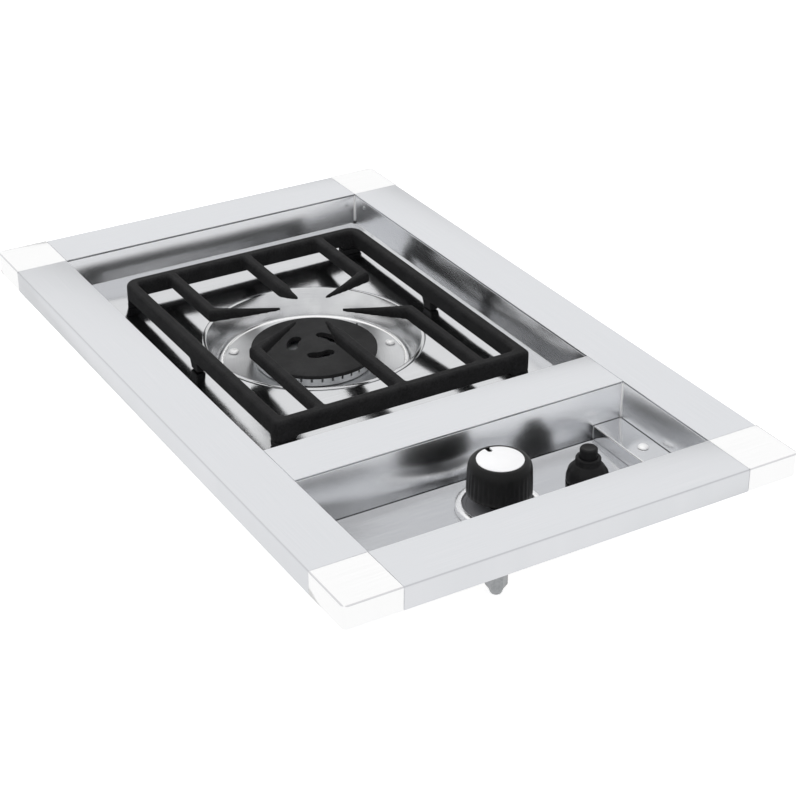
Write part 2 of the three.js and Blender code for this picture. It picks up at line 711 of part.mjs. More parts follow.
// Air shutter: a cup that turns on the tube's mouth and closes its windows
const shutterClearance = 0.3;
const shutterWall = 1.2;
const shutterLength = 13;
const shutterFront = mouthY - seatGap - shutterWall;
const shutterInner = mouthRadius + shutterClearance;
const shutterRim = shutterFront + shutterLength;
const shutterTab = 5;
const shutterCup = turnedAlongY([
  [jetHole, shutterFront], [shutterInner + shutterWall, shutterFront],
  [shutterInner + shutterWall, shutterRim],
  [shutterInner, shutterRim], [shutterInner, shutterFront + shutterWall],
  [jetHole, shutterFront + shutterWall],
], 0, gasLineHeight, smallSides);
const tabStart = shutterInner + shutterWall / 2;
const shutterHandle = box([tabStart, tabStart + shutterTab], [shutterFront, shutterRim],
  [gasLineHeight - shutterWall / 2, gasLineHeight + shutterWall / 2]);
add('air_shutter', join(shutterCup, shutterHandle).subtract(
  airWindows(0, shutterFront - overrun, shutterFront + shutterWall + overrun)), zincSteel);

// Hanger: a flat strap round the tube, bent to a foot on two studs of the burner well
const strapWidth = 12;
const strapSheet = 1.5;
const strapClearance = 0.3;
const hangerFootEnd = 7;
const hangerFootHalf = hangerStudX + hangerFootEnd;
const studClearance = 0.35;
const strapInner = tubeRadius + strapClearance;
const strapOuter = strapInner + strapSheet;
const hangerFootTop = burnerFloorUnder - seatGap;
const strapEnds = [hangerY - strapWidth / 2, hangerY + strapWidth / 2];
const strapRing = turnedAlongY([
  [strapInner, strapEnds[0]], [strapOuter, strapEnds[0]], [strapOuter, strapEnds[1]],
  [strapInner, strapEnds[1]],
], 0, gasLineHeight, smallSides);
const strapLegs = [-1, 1].map((side) => box(
  [side * strapInner, side * strapOuter], strapEnds, [gasLineHeight, hangerFootTop]));
const strapFeet = [-1, 1].map((side) => box(
  [side * strapInner, side * hangerFootHalf], strapEnds, [hangerFootTop - strapSheet, hangerFootTop]));
const hangerHoles = [-1, 1].map((side) => disc(
  studRadius + studClearance, hangerFootTop - strapSheet - overrun, hangerFootTop + overrun,
  side * hangerStudX, hangerY, boltSides));
const innerHalf = box([-strapInner, strapInner], [strapEnds[0] - overrun, strapEnds[1] + overrun],
  [gasLineHeight, gasLineHeight + strapOuter + overrun]);
const strapLower = strapRing.subtract(innerHalf);
const strap = join(strapLower, ...strapLegs, ...strapFeet);
add('tube_hanger', strap.subtract(join(...hangerHoles)), zincSteel);

// Hexagon nuts on the studs
const nutFlats = 7;
const nutHeight = 3.2;

function nut(x, y, top) {
  const bore = disc(studRadius + studClearance, top - nutHeight - overrun, top + overrun, x, y,
    boltSides);
  return hexagon(nutFlats, top - nutHeight, top, x, y).subtract(bore);
}

[-1, 1].forEach((side, i) => {
  const seat = hangerFootTop - strapSheet - seatGap;
  add(`hanger_nut_${i + 1}`, nut(side * hangerStudX, hangerY, seat), zincSteel);
});

// Heat shield: a tray under the burner, hung on four studs, with air slots in its floor
const shieldSheet = 1;
const shieldDrop = 22;
const shieldFlange = 13;
const shieldHalfWidth = shieldStudX - shieldFlange / 2;
const shieldHalfLength = 104;
const shieldWindowRoom = 4;
const shieldSlotCount = 6;
const shieldSlotWidth = 8;
const shieldSlotLengthShare = 0.62;
const shieldFloor = gasLineHeight - shieldDrop;
const shieldTop = burnerFloorUnder - seatGap;
const shieldFront = burnerY - shieldHalfLength;
const shieldRear = burnerY + shieldHalfLength;
const shieldShell = join(
  box([-shieldHalfWidth, shieldHalfWidth], [shieldFront, shieldRear], [shieldFloor, shieldTop]),
  box([-shieldHalfWidth - shieldFlange, shieldHalfWidth + shieldFlange], [shieldFront, shieldRear],
    [shieldTop - shieldSheet, shieldTop]),
);
const shieldHollow = box([-shieldHalfWidth + shieldSheet, shieldHalfWidth - shieldSheet],
  [shieldFront + shieldSheet, shieldRear - shieldSheet],
  [shieldFloor + shieldSheet, shieldTop + overrun]);
const shieldWindow = box([-tubeRadius - shieldWindowRoom, tubeRadius + shieldWindowRoom],
  [shieldFront - overrun, shieldFront + shieldSheet + overrun],
  [gasLineHeight - tubeRadius - shieldWindowRoom, gasLineHeight + tubeRadius + shieldWindowRoom]);
const shieldPitch = 2 * shieldHalfLength / (shieldSlotCount + 1);
const shieldSlots = Array.from({ length: shieldSlotCount }, (_, i) => {
  const y = shieldFront + (i + 1) * shieldPitch;
  return box([-shieldHalfWidth * shieldSlotLengthShare, shieldHalfWidth * shieldSlotLengthShare],
    [y - shieldSlotWidth / 2, y + shieldSlotWidth / 2],
    [shieldFloor - overrun, shieldFloor + shieldSheet + overrun]);
});
const shieldStuds = studs.slice(0, 4);
const shieldHoles = shieldStuds.map(([x, y]) => disc(
  studRadius + studClearance, shieldTop - shieldSheet - overrun, shieldTop + overrun, x, y, boltSides));
add('heat_shield',
  shieldShell.subtract(join(shieldHollow, shieldWindow, ...shieldSlots, ...shieldHoles)), zincSteel);
shieldStuds.forEach(([x, y], i) => {
  add(`shield_nut_${i + 1}`, nut(x, y, shieldTop - shieldSheet - seatGap), zincSteel);
});

// Gas valve under the control well: a brass body with a stem bore, an inlet below and an outlet to the rear
const valveFlangeRadius = 20;
const valveFlangeThickness = 4;
const valveRadius = 12;
const valveFloor = 5;
const stemRadius = 3.9;
const runningGap = 0.3;
const glandRadius = 7.6;
const glandDepth = 5;
const stemBoreDrop = 7;
const gasBoreRadius = 2.4;
const inletBossRadius = 6;
const inletBossLength = 10;
const outletRadius = 7;
const outletLength = 22;
const outletEnd = knobY + outletLength;
const jetThreadRadius = 3;
const jetThreadLength = 6;
const valveTop = controlFloorUnder - seatGap;
const stemBore = stemRadius + runningGap;
const stemBoreBottom = gasLineHeight - stemBoreDrop;
const valveBottom = stemBoreBottom - valveFloor;
const inletBossBottom = valveBottom - inletBossLength;
const valveOuter = join(
  disc(valveFlangeRadius, valveTop - valveFlangeThickness, valveTop, 0, knobY, smallSides),
  disc(valveRadius, valveBottom, valveTop - seatGap, 0, knobY, smallSides),
  disc(inletBossRadius, inletBossBottom, valveBottom + seatGap, 0, knobY, smallSides),
  turnedAlongY([[0, knobY], [outletRadius, knobY], [outletRadius, outletEnd], [0, outletEnd]],
    0, gasLineHeight, smallSides),
);
const valveBores = join(
  disc(stemBore, stemBoreBottom, valveTop + overrun, 0, knobY, boltSides),
  disc(glandRadius + runningGap, valveTop - glandDepth - seatGap, valveTop + overrun, 0, knobY,
    smallSides),
  disc(gasBoreRadius, inletBossBottom - overrun, stemBoreBottom + overrun, 0, knobY, boltSides),
  turnedAlongY([[0, knobY], [gasBoreRadius, knobY], [gasBoreRadius, outletEnd - jetThreadLength],
    [jetThreadRadius + runningGap, outletEnd - jetThreadLength],
    [jetThreadRadius + runningGap, outletEnd + overrun],
    [0, outletEnd + overrun]], 0, gasLineHeight, boltSides),
  ...valveScrewPlaces.map(([x, y]) => disc(
    screwHoleRadius, valveTop - valveFlangeThickness - overrun, valveTop + overrun, x, y, boltSides)),
);
add('valve_body', valveOuter.subtract(valveBores), brass);

// Jet: a drilled brass hexagon screwed into the outlet, its nose inside the tube's mouth
const jetHexLength = 8;
const jetNoseLength = 5;
const jetNoseRadius = 2.8;
const jetDrill = 0.8;
const jetSeat = outletEnd + seatGap;
const jetThread = turnedAlongY([
  [jetDrill, jetSeat - jetThreadLength], [jetThreadRadius, jetSeat - jetThreadLength],
  [jetThreadRadius, jetSeat],
  [jetHexFlats / 2, jetSeat], [jetHexFlats / 2, jetSeat + jetHexLength],
  [jetNoseRadius, jetSeat + jetHexLength],
  [jetDrill * 2, jetSeat + jetHexLength + jetNoseLength],
  [jetDrill, jetSeat + jetHexLength + jetNoseLength],
], 0, gasLineHeight, boltSides);
const jetHex = turnedAlongY([
  [jetThreadRadius / 2, jetSeat], [jetHexFlats / Math.sqrt(3), jetSeat],
  [jetHexFlats / Math.sqrt(3), jetSeat + jetHexLength - runningGap],
  [jetThreadRadius / 2, jetSeat + jetHexLength - runningGap],
], 0, gasLineHeight, 6);
add('gas_jet', join(jetThread, jetHex), brass);

// Inlet nut on the valve's lower boss, the lowest point of the part
const inletFlats = 14.5;
const inletReach = 18.7;
const inletBore = 4.6;
const inletChamfer = 1.2;
const inletTop = valveBottom - seatGap;
const inletFloor = inletBossBottom - seatGap;
const inletBottom = inletFloor - inletReach;
const inletHex = hexagon(inletFlats, inletBottom, inletTop, 0, knobY);
const inletRound = turned([
  [0, inletBottom], [inletFlats / 2 - inletChamfer / 2, inletBottom],
  [inletFlats / Math.sqrt(3) + seatGap,
    inletBottom + inletChamfer * 2], [inletFlats / Math.sqrt(3) + seatGap, inletTop + overrun],
  [0, inletTop + overrun],
], 0, knobY, smallSides);
const inletBores = join(
  disc(inletBossRadius + runningGap, inletFloor, inletTop + overrun, 0, knobY, smallSides),
  disc(inletBore, inletBottom - overrun, inletFloor + overrun, 0, knobY, smallSides),
);
add('inlet_nut', inletHex.intersect(inletRound).subtract(inletBores), zincSteel);

// Valve screws, whose heads stand on the floor under the bezel plate
const valveScrewHead = 3.3;
const valveScrewHeight = 1.7;
const valveScrewSeat = controlWellFloor + seatGap;
const valveScrewLength = valveScrewSeat - valveTop + valveFlangeThickness - runningGap;
valveScrewPlaces.forEach(([x, y], i) => {
  const screw = panScrew(x, y, valveScrewSeat, valveScrewLength, valveScrewHead, valveScrewHeight);
  add(`valve_screw_${i + 1}`, screw, zincSteel);
});

// Gland nut in the valve's mouth, round the stem
const glandRise = 4.9;
const glandTop = valveTop + glandRise;
add('gland_nut', join(
  disc(glandRadius, valveTop - glandDepth, glandTop - runningGap, 0, knobY, smallSides),
  hexagon(2 * glandRadius * Math.cos(Math.PI / 6), valveTop + panSheet, glandTop, 0, knobY),
).subtract(disc(stemBore, valveTop - glandDepth - overrun, glandTop + overrun, 0, knobY, boltSides)),
brass);

// Bezel: a bright ring on the floor and a dark plate on its ledge
const bezelInner = 26.2;
const bezelHeight = 5.3;
const bezelRound = 1.3;
const bezelLedge = 2.2;
const bezelPlateThickness = 1.2;
const bezelPlateDrop = 1.5;
const bezelBottom = controlWellFloor + seatGap;
const bezelTop = controlWellFloor + bezelHeight;
const bezelPlateTop = bezelTop - bezelPlateDrop;
const bezelPlateUnder = bezelPlateTop - bezelPlateThickness;
const ledgeTop = bezelPlateUnder - seatGap;
add('bezel_ring', turned([
  [bezelInner - bezelLedge, bezelBottom], [bezelOuter, bezelBottom], [bezelOuter, bezelTop - bezelRound],
  [bezelOuter - bezelRound * 0.3, bezelTop - bezelRound * 0.3], [bezelOuter - bezelRound, bezelTop],
  [bezelInner + bezelRound / 2, bezelTop], [bezelInner, bezelTop - bezelRound / 2],
  [bezelInner, ledgeTop],
  [bezelInner - bezelLedge, ledgeTop],
], 0, knobY, roundSides), polishedSteel);
add('bezel_plate',
  ring(glandRadius + runningGap * 2, bezelInner - runningGap, bezelPlateUnder, bezelPlateTop,
  0, knobY, roundSides), greyPlate);

// Knob: a fluted black body, hollow below, with a hub on the valve's stem and a plate in its top
const knobRadius = 23;
const knobHeight = 25.5;
const knobTravel = 3;
const knobFloorRoom = 7.9;
const knobShoulder = 5.4;
const knobWall = 3;
const knobRoof = 5;
const knobPlateRadius = 16.8;
const knobPlateDepth = 1.5;
const knobPlateProud = 0.3;
const hubRadius = 7.6;
const hubRise = 0.3;
const fluteCount = 20;
const fluteRadius = 1.4;
const fluteDepth = 0.6;
const shoulderSteps = 4;
const knobRimWidth = 1.1;
const stemHeadroom = 11.6;
const stemFlat = 1.1;
const stemFlatLength = 16;
const stemEndRoom = 1.2;
const knobBottom = bezelPlateTop + knobTravel + knobFloorRoom;
const knobTop = knobBottom + knobHeight;
const hubBottom = knobBottom + hubRise;
const stemTop = knobTop - stemHeadroom;
const stemBottom = stemBoreBottom + knobTravel + stemEndRoom;
const rimRadius = knobPlateRadius + knobRimWidth;
const shoulder = arcPoints(0, 0, 1, 0, Math.PI / 2, shoulderSteps).map(([a, b]) => [
  rimRadius + (knobRadius - rimRadius) * a, knobTop - knobShoulder + knobShoulder * b]);
const knobBlank = turned([
  [knobRadius - knobWall, knobBottom], [knobRadius, knobBottom], ...shoulder,
  [knobPlateRadius + runningGap, knobTop], [knobPlateRadius + runningGap, knobTop - knobPlateDepth],
  [0, knobTop - knobPlateDepth], [0, hubBottom], [hubRadius, hubBottom],
  [hubRadius, knobTop - knobPlateDepth - knobRoof],
  [knobRadius - knobWall, knobTop - knobPlateDepth - knobRoof],
], 0, knobY, roundSides);
const flutes = Array.from({ length: fluteCount }, (_, i) => {
  const angle = (i + 0.5) * 2 * Math.PI / fluteCount;
  const reach = knobRadius + fluteRadius - fluteDepth;
  return disc(fluteRadius, knobBottom - overrun, knobTop - knobShoulder / 2,
    reach * Math.cos(angle), knobY + reach * Math.sin(angle), 4);
});
const hubBore = disc(stemBore, hubBottom - overrun, stemTop + runningGap, 0, knobY,
  boltSides).subtract(box(
  [-stemBore - overrun, stemBore + overrun],
  [knobY + stemRadius - stemFlat + runningGap, knobY + stemBore + overrun],
  [stemTop - stemFlatLength + knobTravel, stemTop + overrun]));
add('knob_body', knobBlank.subtract(join(...flutes, hubBore)), blackPlastic);

const stem = disc(stemRadius, stemBottom, stemTop, 0, knobY, boltSides).subtract(box(
  [-stemRadius - overrun, stemRadius + overrun],
  [knobY + stemRadius - stemFlat, knobY + stemRadius + overrun],
  [stemTop - stemFlatLength, stemTop + overrun]));
add('valve_stem', stem, zincSteel);

const pointerWidth = 3.8;
const pointerLength = 5.4;
const knobPlateTop = knobTop + knobPlateProud;
const knobPlateUnder = knobTop - knobPlateDepth + runningGap;
const pointer = box([-pointerWidth / 2, pointerWidth / 2],
  [knobY + knobPlateRadius - pointerLength, knobY + knobPlateRadius + overrun],
  [knobPlateUnder - overrun, knobPlateTop + overrun]);
add('knob_plate',
  disc(knobPlateRadius, knobPlateUnder, knobPlateTop, 0, knobY, roundSides).subtract(pointer),
  whitePlate);

// A helical spring of round turns, drawn about a vertical axis at (x, y).
const wireSides = 4;
const turnSteps = 8;

class SpringRoute extends THREE.Curve {
  constructor(x, y, radius, low, high, turns) {
    super();
    Object.assign(this, { x, y, radius, low, high, turns });
  }

  getPoint(share) {
    const angle = share * this.turns * 2 * Math.PI;
    return new THREE.Vector3(this.x + this.radius * Math.cos(angle),
      this.y + this.radius * Math.sin(angle),
      this.low + (this.high - this.low) * share);
  }
}

function spring(x, y, radius, wire, low, high, turns) {
  const section = outline(arcPoints(0, 0, wire, 0, 2 * Math.PI * (1 - 1 / wireSides), wireSides - 1));
  const route = new SpringRoute(x, y, radius, low + wire, high - wire, turns);
  const options = { steps: turns * turnSteps, bevelEnabled: false, extrudePath: route };
  return solid(new THREE.ExtrudeGeometry(section, options));
}

// Spring seat on the stem and the spring that lifts the knob after it is pushed
const collarThickness = 2;
const collarRadius = 7.2;
const knobSpringWire = 0.55;
const knobSpringTurns = 4;
const springSeatTop = hubBottom - runningGap;
const springSeatUnder = springSeatTop - collarThickness;
add('stem_collar', ring(stemBore, collarRadius, springSeatUnder, springSeatTop, 0, knobY, smallSides),
  zincSteel);
const knobSpringRadius = (stemRadius + collarRadius) / 2;
add('knob_spring', spring(0, knobY, knobSpringRadius, knobSpringWire,
  glandTop + runningGap, springSeatUnder - runningGap, knobSpringTurns), springSteel);

// Igniter: a module under the floor, its bell-shaped nut, the push button, its spring and a terminal
const igniterBarrelRadius = 12.5;
const igniterLength = 42.1;
const neckRise = 7.2;
const buttonRadius = 6.5;
const buttonRise = 27;
const buttonRound = 1.6;
const buttonClearance = 0.45;
const buttonTravel = 4;
const plungerRadius = 2.6;
const plungerReach = 2;
const springBoreRadius = 5.6;
const springBoreDepth = 16.6;
const bellRadius = 15.5;
const bellFoot = 3.4;
const bellWaist = 10.4;
const bellWaistHeight = 13.6;
const bellTierRadius = 9.3;
const bellRise = 19.4;
const neckClearance = 0.3;
const bellWeb = 2.2;
const neckTop = controlWellFloor + neckRise;
const bellTop = controlWellFloor + bellRise;
const buttonTop = controlWellFloor + buttonRise;
const buttonBottom = neckTop + buttonTravel + 2 * panSheet;
const springBoreBottom = neckTop - springBoreDepth;
const plungerBottom = springBoreBottom - plungerReach;
const barrelTop = controlFloorUnder - seatGap;
const igniterBottom = barrelTop - igniterLength;
const neckBodies = join(
  disc(igniterBarrelRadius, igniterBottom, barrelTop, igniterX, knobY, smallSides),
  disc(igniterNeckRadius, barrelTop - seatGap, neckTop, igniterX, knobY, smallSides),
);
const neckBores = join(
  disc(springBoreRadius, springBoreBottom, neckTop + overrun, igniterX, knobY, boltSides),
  disc(plungerRadius + neckClearance, plungerBottom - buttonTravel - overrun, springBoreBottom + overrun,
    igniterX, knobY, boltSides),
);
add('igniter_module', neckBodies.subtract(neckBores), blackPlastic);

const bellBottom = controlWellFloor + seatGap;
const bellBore = buttonRadius + buttonClearance;
const bellNeckBore = igniterNeckRadius + neckClearance;
const bellWebTop = neckTop + seatGap + bellWeb;
const bellCurveShares = [[1, 0.25], [0.93, 0.5], [0.62, 0.74], [0.2, 0.92], [0, 1]];
const bellCurve = bellCurveShares.map(([r, z]) => [
  bellWaist + (bellRadius - bellWaist) * r,
  bellBottom + bellFoot + (bellWaistHeight - bellFoot) * z]);
add('igniter_nut', turned([
  [bellNeckBore, bellBottom], [bellRadius, bellBottom], [bellRadius, bellBottom + bellFoot], ...bellCurve,
  [bellTierRadius, bellBottom + bellWaistHeight], [bellTierRadius, bellTop - buttonRound / 2],
  [bellTierRadius - buttonRound / 2, bellTop], [bellBore, bellTop], [bellBore, bellWebTop - bellWeb],
  [bellNeckBore, bellWebTop - bellWeb],
], igniterX, knobY, igniterSides), blackPlastic);

add('igniter_button', turned([
  [0, plungerBottom], [plungerRadius, plungerBottom], [plungerRadius, buttonBottom],
  [buttonRadius, buttonBottom],
  [buttonRadius, buttonTop - buttonRound],
  [buttonRadius - buttonRound * 0.3, buttonTop - buttonRound * 0.3],
  [buttonRadius - buttonRound, buttonTop], [0, buttonTop],
], igniterX, knobY, igniterSides), blackPlastic);

const igniterSpringWire = 0.5;
const igniterSpringTurns = 6;
const igniterSpringRadius = (plungerRadius + springBoreRadius) / 2;
add('igniter_spring', spring(igniterX, knobY, igniterSpringRadius, igniterSpringWire,
  springBoreBottom + runningGap, buttonBottom - runningGap, igniterSpringTurns), springSteel);

const terminalWidth = 6.3;
const terminalSheet = 0.8;
const terminalLength = 9;
const terminalTop = igniterBottom - seatGap;
add('igniter_terminal', box([igniterX - terminalWidth / 2, igniterX + terminalWidth / 2],
  [knobY - terminalSheet / 2, knobY + terminalSheet / 2], [terminalTop - terminalLength, terminalTop]),
  brass);

// Grate: one casting with a rounded frame, bars, tapered fingers over the burner and six feet.
// It lies a little to the right of the middle, as in use, and its four legs end in rubber pads.
const grateX = 1.5;
const grateSideRoom = 27.2;
const grateFrontRoom = 36.3;
const grateRearRoom = 46.6;
const grateHeight = 22;
const frontCorner = 5;
const rearCorner = 12;
const openingCorner = 4;
const grateCornerSteps = 5;
const edgeEase = 1.6;
const easeShare = 0.3;
const sideBarWidth = 9.5;
const endBarWidth = 9.8;
const innerBarWidth = 9;
const sideBarDepth = 13;
const frontBarDepth = 14.6;
const rearBarDepth = 13.5;
const innerBarDepth = 9.6;
const innerBarShare = 0.626;
const fingerOffset = 6.7;
const bendOuter = 34.5;
const bendInner = 40;
const tipX = 20.8;
const tipY = 13.2;
const tipWidth = 2;
const tipDepth = 2.5;
const bladeWidth = 4.4;
const bladeDepth = 6.6;
const centreTip = 23.3;
const centreTaper = 47;
const legWidth = 17;
const padHeight = 4.4;
const padPegRadius = 2.5;
const padPegHeight = 4;
const midFootInset = 1.2;
const midFootFront = 2.6;
const midFootRear = 8.4;
const midFootFlare = 6;

const grateHalfWidth = wellRight - grateSideRoom;
const grateFront = crossBarRear + grateFrontRoom;
const grateRear = wellRear - grateRearRoom;
const grateMiddle = (grateFront + grateRear) / 2;
const grateTop = burnerWellFloor + grateHeight;
const easeFloor = grateTop - edgeEase;
const grateFoot = burnerWellFloor + seatGap;
const innerFront = grateFront + endBarWidth;
const innerRear = grateRear - endBarWidth;
const innerBarX = grateHalfWidth * innerBarShare;
const fingerY = burnerY + fingerOffset;

// A rectangle in plan whose front corners and rear corners have their own radius.
function roundedPlan([left, right], [front, rear], frontRadius, rearRadius) {
  const quarter = Math.PI / 2;
  const corner = (x, y, radius, turns) => (
    arcPoints(x, y, radius, turns * quarter, (turns + 1) * quarter, grateCornerSteps));
  return [
    ...corner(right - rearRadius, rear - rearRadius, rearRadius, 0),
    ...corner(left + rearRadius, rear - rearRadius, rearRadius, 1),
    ...corner(left + frontRadius, front + frontRadius, frontRadius, 2),
    ...corner(right - frontRadius, front + frontRadius, frontRadius, 3),
  ];
}

function outerPlan(inset) {
  const half = grateHalfWidth - inset;
  return roundedPlan([grateX - half, grateX + half], [grateFront + inset, grateRear - inset],
    frontCorner - inset, rearCorner - inset);
}

function openingPlan(spread) {
  const half = grateHalfWidth - sideBarWidth + spread;
  return roundedPlan([grateX - half, grateX + half], [innerFront - spread, innerRear + spread],
    openingCorner + spread, openingCorner + spread);
}

function raised(plan, z) {
  return plan.map(([x, y]) => [x, y, z]);
}

function grateFrame(depth) {
  const block = join(
    prism(outerPlan(0), grateTop - depth, easeFloor),
    lofted(raised(outerPlan(0), easeFloor), raised(outerPlan(edgeEase), grateTop)),
  );
  const opening = join(
    prism(openingPlan(0), grateTop - depth - overrun, grateTop),
    lofted(raised(openingPlan(0), easeFloor),
      raised(openingPlan(edgeEase + overrun), grateTop + overrun)),
  );
  return block.subtract(opening);
}

const endBars = [[[grateFront, innerFront], frontBarDepth], [[innerRear, grateRear], rearBarDepth]].map(
  ([ys, depth]) => grateFrame(depth).intersect(
    box([grateX - grateHalfWidth, grateX + grateHalfWidth], ys, [grateTop - depth, grateTop])));
const frameBars = join(grateFrame(sideBarDepth), ...endBars);

// An upright section across a bar between two plan points, with its top edges eased.
function barSection([ax, ay], [bx, by], depth) {
  const width = Math.hypot(bx - ax, by - ay);
  const ease = Math.min(edgeEase, width * easeShare);
  const [inX, inY] = [(bx - ax) * ease / width, (by - ay) * ease / width];
  const low = grateTop - depth;
  const shoulderTop = grateTop - ease;
  return [[ax, ay, low], [bx, by, low], [bx, by, shoulderTop], [bx - inX, by - inY, grateTop],
    [ax + inX, ay + inY, grateTop], [ax, ay, shoulderTop]];
}

// A bar through a row of stations, each two plan points and a depth, in one quarter of the grate.
function barThrough(side, end, stations) {
  const place = ([x, y]) => [grateX + side * x, fingerY + end * y];
  const sections = stations.map(([a, b, depth]) => barSection(place(a), place(b), depth));
  return join(...sections.slice(1).map((section, i) => lofted(sections[i], section)));
}

// The two edges of a finger at a share of its length, measured from the finger's middle line.
function fingerEdges(share, width) {
  const bendY = (bendOuter + bendInner) / 2;
  const [alongX, alongY] = [tipX - innerBarX, tipY - bendY];
  const [x, y] = [innerBarX + alongX * share, bendY + alongY * share];
  const reach = width / 2 / Math.hypot(alongX, alongY);
  return [[x - alongY * reach, y + alongX * reach], [x + alongY * reach, y - alongX * reach]];
}

// A side bar of one quarter with its bend and its blade-like finger.
function bentBar(side, end) {
  const root = Math.abs((end > 0 ? innerRear : innerFront) - fingerY) + endBarWidth / 2;
  const outer = innerBarX + innerBarWidth / 2;
  const inner = innerBarX - innerBarWidth / 2;
  return barThrough(side, end, [
    [[outer, root], [inner, root], innerBarDepth],
    [[outer, bendOuter], [inner, bendInner], innerBarDepth],
    [...fingerEdges(1 / 2, bladeWidth), bladeDepth],
    [...fingerEdges(1, tipWidth), tipDepth],
  ]);
}

// The middle bar of a half, drawn to a point over the burner.
function centreBar(end) {
  const root = Math.abs((end > 0 ? innerRear : innerFront) - fingerY) + endBarWidth / 2;
  const across = (width, y, depth) => [[width / 2, y], [-width / 2, y], depth];
  return barThrough(1, end, [
    across(innerBarWidth, root, innerBarDepth),
    across(innerBarWidth, centreTaper, innerBarDepth),
    across(bladeWidth, (centreTaper + centreTip) / 2, bladeDepth),
    across(tipWidth, centreTip, tipDepth),
  ]);
}

// A block under a corner of the grate, flush with its outer faces.
function cornerBlock(side, end, low, high) {
  const outerX = grateX + side * grateHalfWidth;
  const outerY = end > 0 ? grateRear : grateFront;
  return box([outerX, outerX - side * legWidth], [outerY, outerY - end * endBarWidth], [low, high])
    .intersect(prism(outerPlan(0), low - overrun, high + overrun));
}

function cornerPeg(side, end, radius, low, high) {
  const pegX = grateX + side * (grateHalfWidth - legWidth / 2);
  const pegY = end > 0 ? grateRear - endBarWidth / 2 : grateFront + endBarWidth / 2;
  return disc(radius, low, high, pegX, pegY, boltSides);
}

const padTop = grateFoot + padHeight;
const legFoot = padTop + seatGap;
const grateCorners = [['front_left', -1, -1], ['front_right', 1, -1], ['rear_left', -1, 1],
  ['rear_right', 1, 1]];
const legs = grateCorners.map(([, side, end]) => cornerBlock(side, end, legFoot,
  grateTop - sideBarDepth / 2));
const pegHoles = grateCorners.map(([, side, end]) => (
  cornerPeg(side, end, padPegRadius + seatGap, legFoot - overrun, legFoot + padPegHeight)));
const midFootProfile = [
  [grateMiddle - midFootFront, grateFoot], [grateMiddle + midFootRear, grateFoot],
  [grateMiddle + midFootRear + midFootFlare, grateTop - sideBarDepth / 2],
  [grateMiddle - midFootFront, grateTop - sideBarDepth / 2],
];
const midFootWidth = sideBarWidth - 2 * midFootInset;
const midFeet = [-1, 1].map((side) => {
  const middle = grateX + side * (grateHalfWidth - sideBarWidth / 2);
  return prismAlongX(midFootProfile, middle - midFootWidth / 2, middle + midFootWidth / 2);
});
const bentBars = [-1, 1].flatMap((side) => [-1, 1].map((end) => bentBar(side, end)));
const casting = join(frameBars, ...bentBars, centreBar(-1), centreBar(1), ...legs, ...midFeet);
add('grate', casting.subtract(join(...pegHoles)), castIron);

// Rubber pads under the four legs, each with a peg pressed into its leg
grateCorners.forEach(([name, side, end]) => {
  const pad = cornerBlock(side, end, grateFoot, padTop);
  const peg = cornerPeg(side, end, padPegRadius, padTop - seatGap, padTop + padPegHeight);
  add(`grate_pad_${name}`, join(pad, peg), blackRubber);
});

export default part;
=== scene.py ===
# A drop-in gas side burner: a folded stainless flange round two pans, a cast iron grate over
# a spun bowl and burner, a fluted knob on its valve and a push igniter. It is built up here in
# the order in which it is put together, from the pans outwards.
import math

import bmesh
import bpy
from mathutils import Matrix, Vector


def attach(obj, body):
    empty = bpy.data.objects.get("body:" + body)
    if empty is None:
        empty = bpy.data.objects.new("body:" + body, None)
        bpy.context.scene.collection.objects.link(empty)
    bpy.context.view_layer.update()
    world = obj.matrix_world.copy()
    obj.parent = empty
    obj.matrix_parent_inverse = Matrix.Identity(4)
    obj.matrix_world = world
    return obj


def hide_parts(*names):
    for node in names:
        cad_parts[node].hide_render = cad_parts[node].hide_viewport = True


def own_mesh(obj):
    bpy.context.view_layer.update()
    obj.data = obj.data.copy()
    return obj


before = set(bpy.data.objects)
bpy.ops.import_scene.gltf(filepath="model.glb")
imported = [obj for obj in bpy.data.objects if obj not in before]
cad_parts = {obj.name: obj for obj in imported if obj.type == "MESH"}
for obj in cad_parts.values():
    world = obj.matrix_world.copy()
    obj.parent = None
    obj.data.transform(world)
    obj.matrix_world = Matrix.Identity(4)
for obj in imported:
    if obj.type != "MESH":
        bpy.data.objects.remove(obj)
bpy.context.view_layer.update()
mm = 0.001

# Camera: it looks down on the part's front left corner. Its focal length is given in pixels of
# the picture, its place in mm and its angles in degrees.
picture_width, focal_length, film_width = 800, 1935.28, 36
camera_place = (-643.139, -1137.395, 703.349)
camera_turn, camera_tilt, camera_roll = -30.824, 29.376, 0.204
camera_data = bpy.data.cameras.new("photo_camera")
camera_data.sensor_width = film_width
camera_data.lens = focal_length * film_width / picture_width
camera_data.clip_end = 20
camera = bpy.data.objects.new("photo_camera", camera_data)
bpy.context.scene.collection.objects.link(camera)
camera.matrix_world = (
    Matrix.Translation(Vector(camera_place) * mm)
    @ Matrix.Rotation(math.radians(camera_turn), 4, "Z")
    @ Matrix.Rotation(math.radians(90 - camera_tilt), 4, "X")
    @ Matrix.Rotation(math.radians(camera_roll), 4, "Z")
)
bpy.context.scene.camera = camera

# Studio: the part stands over a plain white floor, as in a catalogue picture. The floor lies just
# under the inlet nut, the lowest point of the part.
floor_height, floor_reach = -95.6, 6000
floor_mesh = bpy.data.meshes.new("studio_floor")
bm = bmesh.new()
bmesh.ops.create_grid(bm, x_segments=1, y_segments=1, size=floor_reach * mm)
bmesh.ops.translate(bm, vec=(0, 0, floor_height * mm), verts=bm.verts)
bm.to_mesh(floor_mesh)
bm.free()
floor = bpy.data.objects.new("studio_floor", floor_mesh)
bpy.context.scene.collection.objects.link(floor)


